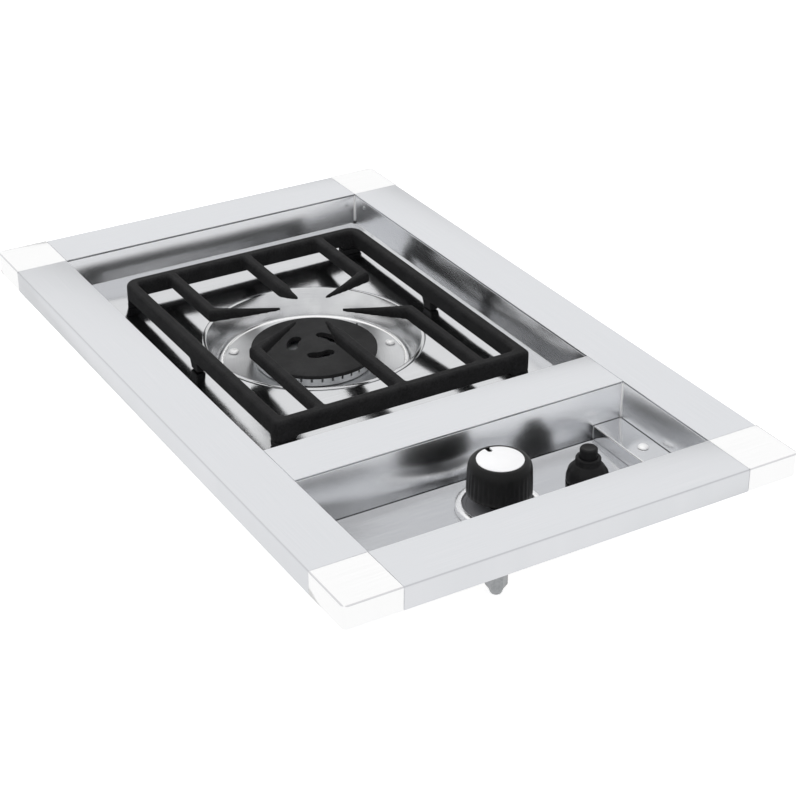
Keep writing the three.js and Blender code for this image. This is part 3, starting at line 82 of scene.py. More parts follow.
# White paper on the floor, matt and lit from all sides. Seen directly it is white but for the
# part's faint shadow, and polished metal mirrors it as plain white.
def linear(hex_code):
    """An sRGB hex colour as linear red, green, blue and alpha."""
    channels = [int(hex_code[i : i + 2], 16) / 255 for i in (0, 2, 4)]
    return [c / 12.92 if c <= 0.04045 else ((c + 0.055) / 1.055) ** 2.4 for c in channels] + [1]


def add_node(tree, kind, settings=None, links=None):
    """Adds a node, sets its properties and sockets, and links outputs into its inputs."""
    node = tree.nodes.new(kind)
    for key, value in (settings or {}).items():
        if isinstance(key, int) or key in node.inputs:
            node.inputs[key].default_value = value
        else:
            setattr(node, key, value)
    for key, output in (links or {}).items():
        tree.links.new(output, node.inputs[key])
    return node


def blank_tree(owner):
    """The emptied node tree of a new material or world."""
    owner.use_nodes = True
    owner.node_tree.nodes.clear()
    return owner.node_tree


paper_glow = 0.72
paper = bpy.data.materials.new("white_paper")
tree = blank_tree(paper)
ray = add_node(tree, "ShaderNodeLightPath")
matt = add_node(tree, "ShaderNodeBsdfDiffuse", {"Color": linear("F2F2F2")})
veil = add_node(tree, "ShaderNodeEmission", {"Color": linear("FFFFFF"), "Strength": paper_glow})
seen = add_node(tree, "ShaderNodeAddShader", links={0: matt.outputs[0], 1: veil.outputs[0]})
glow = add_node(tree, "ShaderNodeEmission", {"Color": linear("FFFFFF"), "Strength": 1.0})
either = add_node(
    tree, "ShaderNodeMixShader",
    links={0: ray.outputs["Is Glossy Ray"], 1: matt.outputs[0], 2: glow.outputs[0]},
)
shown = add_node(
    tree, "ShaderNodeMixShader",
    links={0: ray.outputs["Is Camera Ray"], 1: either.outputs[0], 2: seen.outputs[0]},
)
add_node(tree, "ShaderNodeOutputMaterial", links={"Surface": shown.outputs[0]})
floor_mesh.materials.append(paper)

# The room: evenly white, and a trace darker in front to the right, so that bright sheet steel
# that faces the viewer mirrors something a little darker than what faces up.
front_right, room_light = (0.42, -0.82, 0.38), 0.62
world = bpy.data.worlds.new("studio_room")
bpy.context.scene.world = world
tree = blank_tree(world)
direction = add_node(tree, "ShaderNodeTexCoord")
towards = add_node(
    tree, "ShaderNodeVectorMath", {"operation": "DOT_PRODUCT", 1: front_right},
    {0: direction.outputs["Generated"]},
)
shade = add_node(tree, "ShaderNodeValToRGB", links={"Fac": towards.outputs["Value"]})
for element, position, tint in zip(shade.color_ramp.elements, (0.25, 0.85), ("FFFFFF", "F4F4F5")):
    element.position, element.color = position, linear(tint)
mirrored = add_node(
    tree, "ShaderNodeBackground", {"Strength": 1.0}, {"Color": shade.outputs["Color"]}
)
soft = add_node(tree, "ShaderNodeBackground", {"Color": linear("FFFFFF"), "Strength": room_light})
white = add_node(tree, "ShaderNodeBackground", {"Color": linear("FFFFFF"), "Strength": 1.0})
ray = add_node(tree, "ShaderNodeLightPath")
either = add_node(
    tree, "ShaderNodeMixShader",
    links={0: ray.outputs["Is Glossy Ray"], 1: soft.outputs[0], 2: mirrored.outputs[0]},
)
shown = add_node(
    tree, "ShaderNodeMixShader",
    links={0: ray.outputs["Is Camera Ray"], 1: either.outputs[0], 2: white.outputs[0]},
)
add_node(tree, "ShaderNodeOutputWorld", links={"Surface": shown.outputs[0]})


# Lamps: a large soft one hangs over the part's left and a smaller one stands behind it. Polished
# metal doesn't mirror them, as it mirrors the white room.
def soft_lamp(name, place, width, watts):
    """A square soft lamp, placed and sized in metres, that points at the middle of the part."""
    lamp = bpy.data.lights.new(name, "AREA")
    lamp.shape = "SQUARE"
    lamp.size = width
    lamp.energy = watts
    stand = bpy.data.objects.new(name, lamp)
    bpy.context.scene.collection.objects.link(stand)
    stand.location = place
    stand.rotation_euler = (-Vector(place)).to_track_quat("-Z", "Y").to_euler()
    stand.visible_glossy = False


soft_lamp("lamp_over_left", (-1.1, -0.5, 1.9), 1.4, 22)
soft_lamp("lamp_behind", (0.7, 1.6, 1.3), 1.0, 9)
bpy.context.scene.view_settings.view_transform = "Standard"

# Light goes to and fro between the bright walls of the pans, so it may bounce often.
bpy.context.scene.cycles.max_bounces = 16
bpy.context.scene.cycles.glossy_bounces = 12


# Burner well and control well: two pans folded from 1 mm bright stainless sheet, the rear one
# with a round hole for the bowl. The grain of the sheet runs across the part and up its sides.
def round_edges(bm, edges, width_mm, steps=2, loop_slide=False):
    """Rounds edges with a bevel of the given width."""
    bmesh.ops.bevel(
        bm, geom=edges, offset=width_mm * mm, offset_type="OFFSET", affect="EDGES", segments=steps,
        profile=0.5, material=-1, clamp_overlap=True, loop_slide=loop_slide,
    )


def dressed_copy(node, bevel_mm, least_edge_mm=0, crease_deg=28):
    """A copy of a CAD node's solid with its faces joined and its creased edges rounded."""
    joined_mm, flat_deg = 0.002, 0.6
    bm = bmesh.new()
    bm.from_mesh(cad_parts[node].data)
    bmesh.ops.remove_doubles(bm, verts=bm.verts, dist=joined_mm * mm)
    bmesh.ops.dissolve_limit(
        bm, angle_limit=math.radians(flat_deg), verts=bm.verts, edges=bm.edges
    )
    if bevel_mm:
        crease, least = math.radians(crease_deg), least_edge_mm * mm
        sharp = [e for e in bm.edges if e.calc_face_angle(0) > crease and e.calc_length() >= least]
        round_edges(bm, sharp, bevel_mm, loop_slide=True)
    return bm


def as_piece(bm, name, finish, node, body="frame", smooth_deg=35):
    """Makes the piece that takes the place of a CAD node, rides on its body and has its finish."""
    mesh = bpy.data.meshes.new(name)
    bm.to_mesh(mesh)
    bm.free()
    mesh.shade_smooth()
    mesh.set_sharp_from_angle(angle=math.radians(smooth_deg))
    mesh.materials.append(finish)
    piece = bpy.data.objects.new(name, mesh)
    bpy.context.scene.collection.objects.link(piece)
    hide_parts(node)
    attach(piece, body)
    return piece


def near(tree, position, across, point, full_mm, none_mm):
    """1 beside a line through the point, and 0 past its edge. The line runs along the axes that
    across leaves out. None left out makes it a spot."""
    flat = add_node(
        tree, "ShaderNodeVectorMath", {"operation": "MULTIPLY", 1: across}, {0: position}
    )
    reach = add_node(
        tree, "ShaderNodeVectorMath", {"operation": "DISTANCE", 1: Vector(point) * mm},
        {0: flat.outputs[0]},
    )
    share = add_node(
        tree, "ShaderNodeMapRange",
        {"From Min": full_mm * mm, "From Max": none_mm * mm, "To Min": 1.0, "To Max": 0.0},
        {"Value": reach.outputs["Value"]},
    )
    return share.outputs[0]


def marked(tree, share, colour, roughness, mark_colour, mark_roughness=None):
    """A sheet's colour and roughness, with those of a mark on it where the share is 1. A mark
    without a roughness only changes the sheet's colour."""
    colour = add_node(
        tree, "ShaderNodeMix", {"data_type": "RGBA", 7: linear(mark_colour)},
        {0: share, 6: colour},
    ).outputs[2]
    if mark_roughness is not None:
        roughness = add_node(
            tree, "ShaderNodeMix", {"data_type": "FLOAT", 3: mark_roughness},
            {0: share, 2: roughness},
        ).outputs[0]
    return colour, roughness


def rolled_sheet(
    name, light, dark, grain_axis, grain_mm, rough, bump, relief_mm=0.02, pan=None, folds=()
):
    """Cold rolled stainless sheet, which mirrors its surroundings in long soft streaks. The real
    grain is finer and is drawn coarser so that it shows. A pan's sheet is folded up at its walls
    and warped. Its walls are painted paler than its floor, as painted light. Each corner has a
    ground weld up it, painted lighter as a painted highlight, and painted shade at its foot, and
    painted shade may lie along the foot of its rear wall. Other folds and joints are lines, each
    given by the axes across it, a point on it and its colour. A darker line on a fold is painted
    shade, and a bright one on an edge a painted highlight."""
    grain_length_mm, fold_roughness = 60, 0.5
    material = bpy.data.materials.new(name)
    tree = blank_tree(material)
    place = add_node(tree, "ShaderNodeTexCoord").outputs["Object"]
    parts = add_node(tree, "ShaderNodeSeparateXYZ", links={0: place})
    across = parts.outputs["X" if grain_axis == "Y" else "Y"]
    if pan:
        facing = add_node(tree, "ShaderNodeNewGeometry")
        normal = add_node(tree, "ShaderNodeSeparateXYZ", links={0: facing.outputs["Normal"]})
        level = add_node(
            tree, "ShaderNodeMath", {"operation": "ABSOLUTE"}, {0: normal.outputs["Z"]}
        )
        wall = add_node(
            tree, "ShaderNodeMath", {"operation": "LESS_THAN", 1: 0.5}, {0: level.outputs[0]}
        ).outputs[0]
        endwise = add_node(
            tree, "ShaderNodeMath", {"operation": "ABSOLUTE"}, {0: normal.outputs["Y"]}
        )
        end_wall = add_node(
            tree, "ShaderNodeMath", {"operation": "GREATER_THAN", 1: 0.5}, {0: endwise.outputs[0]}
        )
        across = add_node(
            tree, "ShaderNodeMix", {"data_type": "FLOAT"},
            {0: end_wall.outputs[0], 2: across, 3: parts.outputs["Z"]},
        ).outputs[0]
    fine = add_node(
        tree, "ShaderNodeMath", {"operation": "MULTIPLY", 1: 1 / (grain_mm * mm)}, {0: across}
    )
    long = add_node(
        tree, "ShaderNodeMath", {"operation": "MULTIPLY", 1: 1 / (grain_length_mm * mm)},
        {0: parts.outputs[grain_axis]},
    )
    grid = add_node(tree, "ShaderNodeCombineXYZ", links={0: fine.outputs[0], 1: long.outputs[0]})
    grain = add_node(
        tree, "ShaderNodeTexNoise", {"Scale": 1.0, "Detail": 3.0, "Roughness": 0.6},
        {"Vector": grid.outputs[0]},
    ).outputs["Fac"]
    tone = add_node(
        tree, "ShaderNodeMapRange", {"From Min": 0.3, "From Max": 0.7}, {"Value": grain}
    )
    colour = add_node(
        tree, "ShaderNodeMix", {"data_type": "RGBA", 6: linear(dark), 7: linear(light)},
        {0: tone.outputs[0]},
    ).outputs[2]
    roughness = add_node(
        tree, "ShaderNodeMapRange", {"To Min": rough[0], "To Max": rough[1]}, {"Value": grain}
    ).outputs[0]
    height = grain
    if pan:
        height = add_node(
            tree, "ShaderNodeMix", {"data_type": "FLOAT", 3: 0.5}, {0: wall, 2: grain}
        ).outputs[0]
    relief = add_node(
        tree, "ShaderNodeBump", {"Strength": bump, "Distance": relief_mm * mm}, {"Height": height}
    )
    if pan:
        right, middle, half, floor_z, shaded_rear_foot = pan
        warp_mm, warp_depth_mm = 70, 0.4
        # Painted light: the walls are painted paler than the floor of the same sheet.
        colour, roughness = marked(tree, wall, colour, roughness, "EDEEF0", 0.22)
        warp = add_node(
            tree, "ShaderNodeTexNoise", {"Scale": 1 / (warp_mm * mm), "Detail": 2.0},
            {"Vector": place},
        )
        relief = add_node(
            tree, "ShaderNodeBump", {"Strength": 1.0, "Distance": warp_depth_mm * mm},
            {"Height": warp.outputs["Fac"], "Normal": relief.outputs[0]},
        )
        corner = add_node(
            tree, "ShaderNodeVectorMath",
            {"operation": "SUBTRACT", 1: (0, middle * mm, floor_z * mm)}, {0: place},
        )
        corner = add_node(
            tree, "ShaderNodeVectorMath", {"operation": "ABSOLUTE"}, {0: corner.outputs[0]}
        ).outputs[0]
        # A ground weld up each corner: rougher, and painted lighter as a painted highlight.
        weld_highlight = near(tree, corner, (1, 1, 0), (right, half, 0), full_mm=0.9, none_mm=1.5)
        colour, roughness = marked(tree, weld_highlight, colour, roughness, "F8F8F8", fold_roughness)
        # Painted shade: a dark spot where the walls meet the floor in each corner.
        corner_shade = near(tree, corner, (1, 1, 1), (right, half, 0), full_mm=1.4, none_mm=3)
        colour, roughness = marked(tree, corner_shade, colour, roughness, "4A4A4C")
        if shaded_rear_foot:
            # Painted shade: a dark line along the crease at the foot of the rear wall.
            foot = (0, middle + half, floor_z)
            rear_foot_shade = near(tree, place, (0, 1, 1), foot, full_mm=0.4, none_mm=0.9)
            colour, roughness = marked(tree, rear_foot_shade, colour, roughness, "4C4C4F")
    for axes, point, tint in folds:
        fold = near(tree, place, axes, point, full_mm=0.7, none_mm=1.1)
        colour, roughness = marked(tree, fold, colour, roughness, tint, fold_roughness)
    surface = add_node(
        tree, "ShaderNodeBsdfPrincipled", {"Metallic": 1.0},
        {"Base Color": colour, "Roughness": roughness, "Normal": relief.outputs[0]},
    )
    add_node(tree, "ShaderNodeOutputMaterial", links={"Surface": surface.outputs[0]})
    return material


pan_right = 137
for node, middle, half, pan_floor, shaded_rear_foot in (
    ("burner_well", 72.6, 177.4, -10, False),
    ("control_well", -200.1, 49.9, -24.6, True),
):
    # Bright rolled sheet: it mirrors grate, knob and walls in soft dark streaks, and its walls are
    # painted paler than its floor as painted light.
    pan_sheet = rolled_sheet(
        "bright_rolled_stainless_" + node, "D9DADC", "D0D1D3", "X", 0.5, (0.09, 0.15), 0.35,
        relief_mm=0.05, pan=(pan_right, middle, half, pan_floor, shaded_rear_foot),
    )
    bm = dressed_copy(node, 1.1, least_edge_mm=40)
    as_piece(bm, node + "_pan", pan_sheet, node)

# Shelf in the control well: a lighter folded strip that covers the wiring side of the pan. Its free
# edges carry painted highlights, bright lines along them, and dark joints are left where it meets
# the pan's walls.
shelf_left, shelf_right, shelf_rear, shelf_top = 112, 136.9, -150.3, -12.5
# The same bright sheet, a shade lighter, since it lies higher and mirrors more of the room.
shelf_sheet = rolled_sheet(
    "bright_rolled_stainless_shelf", "DDDEE0", "D4D5D7", "X", 0.5, (0.09, 0.15), 0.35,
    relief_mm=0.05,
    folds=(
        # The bright lines on the free edges are painted highlights; the dark lines are joints.
        ((1, 0, 1), (shelf_left, 0, shelf_top), "FEFEFE"),
        ((1, 1, 0), (shelf_left, shelf_rear, 0), "FEFEFE"),
        ((0, 1, 1), (0, shelf_rear, shelf_top), "5C5C5F"),
        ((1, 0, 1), (shelf_right, 0, shelf_top), "6C6C6F"),
    ),
)
bm = dressed_copy("control_shelf", 0.5, least_edge_mm=8)
as_piece(bm, "folded_shelf", shelf_sheet, "control_shelf")


# Rivets: a small domed rivet in the burner well's right wall and a larger one in the shelf. Both
# are turned from a profile, flared behind the sheet and plated with zinc.
def in_order(elements):
    """The elements without repeats, in the order in which they come."""
    return list(dict.fromkeys(elements))


def turned(profile, centre, axis="Z", *, steps, onto=None):
    """Spins a closed profile of [radius, height] in mm round a line and merges the seam. The
    form is a new mesh or is added onto a given one."""
    joined_mm = 0.001
    bm = bmesh.new() if onto is None else onto
    older = set(bm.verts)
    ring = [bm.verts.new((r * mm, 0, h * mm)) for r, h in profile]
    pairs = zip(ring, ring[1:] + ring[:1])
    sides = [bm.edges.new(pair) for pair in pairs if pair[0].co.x > 0 or pair[1].co.x > 0]
    bmesh.ops.spin(
        bm, geom=ring + sides, cent=(0, 0, 0), axis=(0, 0, 1), angle=2 * math.pi, steps=steps,
        use_merge=True,
    )
    fresh = [v for v in bm.verts if v not in older]
    bmesh.ops.remove_doubles(bm, verts=fresh, dist=joined_mm * mm)
    fresh = [v for v in bm.verts if v not in older]
    faces = in_order(f for v in fresh for f in v.link_faces)
    bmesh.ops.recalc_face_normals(bm, faces=faces)
    tilts = {"Y": ("X", -90), "-X": ("Y", -90)}
    if axis in tilts:
        hinge, turn = tilts[axis]
        tilt = Matrix.Rotation(math.radians(turn), 3, hinge)
        bmesh.ops.rotate(bm, cent=(0, 0, 0), matrix=tilt, verts=fresh)
    bmesh.ops.translate(bm, vec=Vector(centre) * mm, verts=fresh)
    return bm


def bright_metal(name, light, dark, rough, patch_mm=3, metallic=1.0):
    """Bright plated, cast or turned metal: its gloss is faintly cloudy and its surface uneven."""
    relief_mm = 0.05
    material = bpy.data.materials.new(name)
    tree = blank_tree(material)
    place = add_node(tree, "ShaderNodeTexCoord").outputs["Object"]
    cloud = add_node(
        tree, "ShaderNodeTexNoise", {"Scale": 1 / (patch_mm * mm), "Detail": 4.0},
        {"Vector": place},
    ).outputs["Fac"]
    colour = add_node(
        tree, "ShaderNodeMix", {"data_type": "RGBA", 6: linear(dark), 7: linear(light)}, {0: cloud}
    )
    roughness = add_node(
        tree, "ShaderNodeMapRange", {"To Min": rough[0], "To Max": rough[1]}, {"Value": cloud}
    )
    relief = add_node(
        tree, "ShaderNodeBump", {"Strength": 0.15, "Distance": relief_mm * mm}, {"Height": cloud}
    )
    surface = add_node(
        tree, "ShaderNodeBsdfPrincipled", {"Metallic": metallic},
        {
            "Base Color": colour.outputs[2], "Roughness": roughness.outputs[0],
            "Normal": relief.outputs[0],
        },
    )
    add_node(tree, "ShaderNodeOutputMaterial", links={"Surface": surface.outputs[0]})
    return material


# Zinc plate: pale grey with a cloudy half gloss. On the shelf's rivet and the bowl's screws it is
# painted nearly white, a painted highlight on their heads.
zinc_plate = bright_metal("zinc_plated_steel", "C9CBCD", "AEB0B3", (0.22, 0.4))
zinc_white_highlight = bright_metal("zinc_plate_white_highlight", "FFFFFF", "FAFAFA", (0.34, 0.46), metallic=0.35)
rim, shank, flare = 0.3, 1.3, 2.4
for node, centre, axis, head, dome, finish in (
    ("well_rivet", (137, 233, 11), "-X", 1.8, 0.8, zinc_plate),
    ("shelf_rivet", (124.5, -194.4, -12.5), "Z", 4.1, 2.3, zinc_white_highlight),
):
    bm = turned(
        [
            [0, rim + dome], [head * 0.36, rim + dome * 0.94], [head * 0.68, rim + dome * 0.72],
            [head * 0.9, rim + dome * 0.4], [head, rim], [shank, rim], [shank, -1.3],
            [flare, -1.3], [flare, -2.5], [0, -2.5],
        ],
        centre, axis, steps=32,
    )
    as_piece(bm, node + "_domed", finish, node)

# Flange strips: 1.2 mm satin stainless folded to a flat top, an 18 mm skirt and a lip turned in at
# the foot. The grain runs along each strip, and along its outer fold a narrow line is painted
# darker as painted shade.
half_width, half_length, flange_top = 180, 295, 18
side_folds = [((1, 0, 1), (side * half_width, 0, flange_top)) for side in (-1, 1)]
end_folds = [((0, 1, 1), (0, end * half_length, flange_top)) for end in (-1, 1)]
# Satin sheet: an even light grey with a fine grain and hardly any reflection.
# The darker lines on the strips' outer folds are painted shade.
long_grain = rolled_sheet(
    "satin_stainless_lengthwise", "E5E6E9", "DEE0E3", "Y", 0.4, (0.3, 0.42), 0.4,
    folds=[(*fold, "D0D1D4") for fold in side_folds],
)
cross_grain = rolled_sheet(
    "satin_stainless_crosswise", "E5E6E9", "DEE0E3", "X", 0.4, (0.3, 0.42), 0.4,
    folds=[(*fold, "D0D1D4") for fold in end_folds],
)
for node, finish in (
    ("flange_left", long_grain),
    ("flange_right", long_grain),
    ("flange_front", cross_grain),
    ("flange_rear", cross_grain),
):
    bm = dressed_copy(node, 0.2, least_edge_mm=0.5, crease_deg=40)
    as_piece(bm, node + "_strip", finish, node)

# Cross bar between the wells: a strip of the same satin sheet, folded with two ribs under it and
# laid over the rims of both pans. Its grain runs across the part, along the bar.
bm = dressed_copy("cross_bar", 0.25)
as_piece(bm, "cross_bar_strip", cross_grain, "cross_bar")

# Corner caps: four pieces of brightly polished stainless, which close the frame's corners. Each
# laps under the ends of two strips with its tongues.
# Polished sheet: it mirrors the white room and looks white itself.
polish = rolled_sheet(
    "polished_stainless", "FEFEFE", "FAFAFA", "X", 0.8, (0.08, 0.16), 0.1, relief_mm=0.01,
    # Its fold lines are painted a little darker: painted shade.
    folds=[(*fold, "E2E2E4") for fold in side_folds + end_folds],
)
for corner in ("front_left", "front_right", "rear_left", "rear_right"):
    node = "corner_" + corner
    bm = dressed_copy(node, 0.35, crease_deg=40)
    as_piece(bm, node + "_cap", polish, node)

# Burner bowl: a steep dish of 1.2 mm bright stainless, spun on a lathe. It hangs through the hole
# in the rear pan, and its narrow flat rim lies on the pan's floor.
burner_y = 74.5


def spun_steel(name, light, dark, rough, ring_mm, bead_mm=0):
    """Stainless spun on a lathe: fine rings round the burner's middle in tone, gloss and relief,
    drawn coarser than the real ones so that they show. Beyond a given radius it has a polished
    bead, glossier and painted lighter as a painted highlight."""
    cloud_mm, relief_mm, bead_edge_mm = 20, 0.02, 0.3
    material = bpy.data.materials.new(name)
    tree = blank_tree(material)
    place = add_node(tree, "ShaderNodeTexCoord").outputs["Object"]
    centred = add_node(
        tree, "ShaderNodeVectorMath", {"operation": "SUBTRACT", 1: (0, burner_y * mm, 0)},
        {0: place},
    )
    flat = add_node(
        tree, "ShaderNodeVectorMath", {"operation": "MULTIPLY", 1: (1, 1, 0)},
        {0: centred.outputs[0]},
    )
    reach = add_node(
        tree, "ShaderNodeVectorMath", {"operation": "LENGTH"}, {0: flat.outputs[0]}
    ).outputs["Value"]
    parts = add_node(tree, "ShaderNodeSeparateXYZ", links={0: place})
    run = add_node(tree, "ShaderNodeMath", {"operation": "ADD"}, {0: reach, 1: parts.outputs["Z"]})
    rings = add_node(
        tree, "ShaderNodeMath", {"operation": "MULTIPLY", 1: 1 / (ring_mm * mm)},
        {0: run.outputs[0]},
    )
    grid = add_node(tree, "ShaderNodeCombineXYZ", links={0: rings.outputs[0]})
    grain = add_node(
        tree, "ShaderNodeTexNoise", {"Scale": 1.0, "Detail": 3.0}, {"Vector": grid.outputs[0]}
    ).outputs["Fac"]
    cloud = add_node(
        tree, "ShaderNodeTexNoise", {"Scale": 1 / (cloud_mm * mm), "Detail": 2.0},
        {"Vector": place},
    )
    tone = add_node(
        tree, "ShaderNodeMath", {"operation": "MULTIPLY"}, {0: grain, 1: cloud.outputs["Fac"]}
    )
    tone = add_node(
        tree, "ShaderNodeMapRange", {"From Min": 0.1, "From Max": 0.42}, {"Value": tone.outputs[0]}
    )
    colour = add_node(
        tree, "ShaderNodeMix", {"data_type": "RGBA", 6: linear(dark), 7: linear(light)},
        {0: tone.outputs[0]},
    ).outputs[2]
    roughness = add_node(
        tree, "ShaderNodeMapRange", {"To Min": rough[0], "To Max": rough[1]}, {"Value": grain}
    ).outputs[0]
    relief = add_node(
        tree, "ShaderNodeBump", {"Strength": 0.35, "Distance": relief_mm * mm}, {"Height": grain}
    )
    if bead_mm:
        # Painted highlight: the bead is painted lighter; its lower roughness is its real polish.
        bead_highlight = add_node(
            tree, "ShaderNodeMapRange",
            {"From Min": (bead_mm - bead_edge_mm) * mm, "From Max": bead_mm * mm},
            {"Value": reach},
        )
        colour, roughness = marked(tree, bead_highlight.outputs[0], colour, roughness, "FCFCFC", 0.2)
    surface = add_node(
        tree, "ShaderNodeBsdfPrincipled", {"Metallic": 1.0},
        {"Base Color": colour, "Roughness": roughness, "Normal": relief.outputs[0]},
    )
    add_node(tree, "ShaderNodeOutputMaterial", links={"Surface": surface.outputs[0]})
    return material


# Bright spun steel: rings of light and shade round the bowl's wall.
spun_bright = spun_steel("spun_bright_stainless", "DCDDDE", "C6C7C9", (0.14, 0.26), 0.7)
bm = turned(
    [
        [26, -32.4], [75.6, -32.4], [77.2, -31.7], [78, -30], [86.8, -9.7], [88.7, -9.9],
        [88.95, -9.8], [88.95, -9.5], [88.6, -9.2], [87.9, -9.1], [87.1, -9.1], [86.4, -9.15],
        [85.9, -9.3], [85.6, -9.6], [76.8, -29.4], [76.2, -30.6], [75, -31.2], [26, -31.2],
    ],
    (0, burner_y, 0), steps=128,
)
as_piece(bm, "spun_bowl", spun_bright, "burner_bowl")

# Burner plate: a satin stainless disc with a polished bead rolled round its edge. It is screwed
# down in the bottom of the bowl.
bm = turned(
    [
        [26, -30.9], [73.6, -30.9], [74.7, -30.8], [75.3, -30.3], [75.4, -29.8], [75.3, -29.1],
        [74.8, -28.6], [74, -28.4], [73.2, -28.5], [72.6, -28.9], [72.3, -29.4], [71.8, -29.7],
        [26, -29.7],
    ],
    (0, burner_y, 0), steps=128,
)
# Satin spun steel: soft rings, and a painted highlight, a bright line, round the bead.
satin_disc = spun_steel("spun_satin_stainless", "E0E1E2", "D0D1D3", (0.24, 0.34), 0.9, bead_mm=72.3)
as_piece(bm, "beaded_plate", satin_disc, "burner_plate")

# Burner base: one dull grey sand casting in aluminium. Its flange is screwed up against the
# bowl, and its throat bends forward to take the mixing tube.
gas_line = -54
# Rough cast aluminium: dull light grey with a grainy skin.
cast_grey = bright_metal("cast_aluminium", "C8CACC", "B0B2B4", (0.4, 0.58), patch_mm=1.2)
bm = turned(
    [
        [10.7, -37.5], [14.6, -37.5], [16.6, -36.8], [20.5, -35.7], [72, -35.7], [73, -34.7],
        [73, -33.7], [72, -32.7], [12.5, -32.7], [10.7, -34.5],
    ],
    (0, burner_y, 0), steps=96,
)
bend, bend_steps, throat_length = 17, 14, 14
throat_outside, throat_bore = 13.3, 10.7
for radius in (throat_outside, throat_bore):
    ring = bmesh.ops.create_circle(bm, cap_ends=False, segments=40, radius=radius * mm)["verts"]
    bmesh.ops.translate(bm, vec=Vector((0, burner_y, gas_line + bend)) * mm, verts=ring)
    rims = in_order(e for v in ring for e in v.link_edges)
    swept = bmesh.ops.spin(
        bm, geom=ring + rims, cent=Vector((0, burner_y - bend, gas_line + bend)) * mm,
        axis=(1, 0, 0), angle=-math.pi / 2, steps=bend_steps, use_merge=False,
    )["geom_last"]
    rims = [e for e in swept if isinstance(e, bmesh.types.BMEdge)]
    pulled = bmesh.ops.extrude_edge_only(bm, edges=rims)["geom"]
    moved = [v for v in pulled if isinstance(v, bmesh.types.BMVert)]
    bmesh.ops.translate(bm, vec=(0, -throat_length * mm, 0), verts=moved)
near_mouth = (burner_y - bend - throat_length + 1) * mm
open_rims = [e for e in bm.edges if e.is_boundary]
mouth = [e for e in open_rims if min(v.co.y for v in e.verts) < near_mouth]
bmesh.ops.bridge_loops(bm, edges=mouth)
bmesh.ops.bridge_loops(bm, edges=[e for e in bm.edges if e.is_boundary])
bmesh.ops.recalc_face_normals(bm, faces=bm.faces)
as_piece(bm, "cast_base", cast_grey, "burner_base")

# Burner head: a cast aluminium ring with a stepped inner deck, turned bright outside. Thirty-six
# port slits are cut into its wall, just under the cap.
port_count, port_low, port_high, port_depth = 36, -25.9, -22.1, 4.5
head_wall, head_sectors = 47, port_count * 5
bm = turned(
    [
        [11, -25.9], [34, -25.9], [37, -27.5], [40, -27.5], [40, -29.4], [47.3, -29.4],
        [47.6, -29.1], [47.6, -26], [47.6, -22.05], [47.35, -21.8], [40.2, -21.8], [40, -22],
        [40, -26.3], [37, -26.3], [34, -24.7], [11, -24.7],
    ],
    (0, burner_y, 0), steps=head_sectors,
)
first_port, port_pitch = -1.2, 10
port_angles = [math.radians(first_port + port_pitch * i) for i in range(port_count)]


def near_port(face):
    """True for a face of the outer wall that stands where a port slit is."""
    middle = face.calc_center_median() - Vector((0, burner_y * mm, 0))
    if not (port_low * mm < middle.z < port_high * mm and middle.xy.length > head_wall * mm):
        return False
    angle = math.atan2(middle.y, middle.x)
    off = min(abs(math.remainder(angle - port, 2 * math.pi)) for port in port_angles)
    return off < math.pi / head_sectors


slits = [f for f in bm.faces if near_port(f)]
for face in bmesh.ops.extrude_discrete_faces(bm, faces=slits)["faces"]:
    inward = Vector((0, burner_y * mm, 0)) - face.calc_center_median()
    inward.z = 0
    inward = inward.normalized() * port_depth * mm
    bmesh.ops.translate(bm, vec=inward, verts=list(face.verts))
# Machined cast aluminium: lighter than the casting's skin, and a little glossier.
machined_grey = bright_metal(
    "machined_cast_aluminium", "DEE0E2", "CACCCE", (0.4, 0.55), patch_mm=1.2
)
as_piece(bm, "slotted_head", machined_grey, "burner_head")


# Burner cap: a slightly domed steel disc in satin dark enamel, with three curved slots round its
# middle and a collar below that centres it on the head.
def pierced_sheet(loops, thickness_mm, rim_mm=0, rim_steps=2):
    """A flat outline with holes, given as loops of points in mm, filled and given thickness, and
    with rounded rims if a width is given for them."""
    bm, edges, rim_deg = bmesh.new(), [], 60
    for loop in loops:
        ring = [bm.verts.new(Vector(point) * mm) for point in loop]
        edges += [bm.edges.new(pair) for pair in zip(ring, ring[1:] + ring[:1])]
    filled = bmesh.ops.triangle_fill(bm, use_beauty=True, use_dissolve=False, edges=edges)["geom"]
    faces = [g for g in filled if isinstance(g, bmesh.types.BMFace)]
    pushed = bmesh.ops.extrude_face_region(bm, geom=faces, use_keep_orig=True)["geom"]
    moved = [g for g in pushed if isinstance(g, bmesh.types.BMVert)]
    bmesh.ops.translate(bm, vec=(0, 0, -thickness_mm * mm), verts=moved)
    bmesh.ops.recalc_face_normals(bm, faces=bm.faces)
    if rim_mm:
        sharp = [e for e in bm.edges if e.calc_face_angle(0) > math.radians(rim_deg)]
        round_edges(bm, sharp, rim_mm, rim_steps)
    return bm


def arc(centre, radius, start_deg, end_deg, steps, height):
    """Points of an arc in plan, in mm."""
    sweep = end_deg - start_deg
    turns = [math.radians(start_deg + sweep * i / steps) for i in range(steps + 1)]
    x, y = centre
    return [(x + radius * math.cos(t), y + radius * math.sin(t), height) for t in turns]


def circle(centre, radius, count, height):
    """Points of a whole circle in plan, in mm."""
    return arc(centre, radius, 0, 360 - 360 / count, count - 1, height)


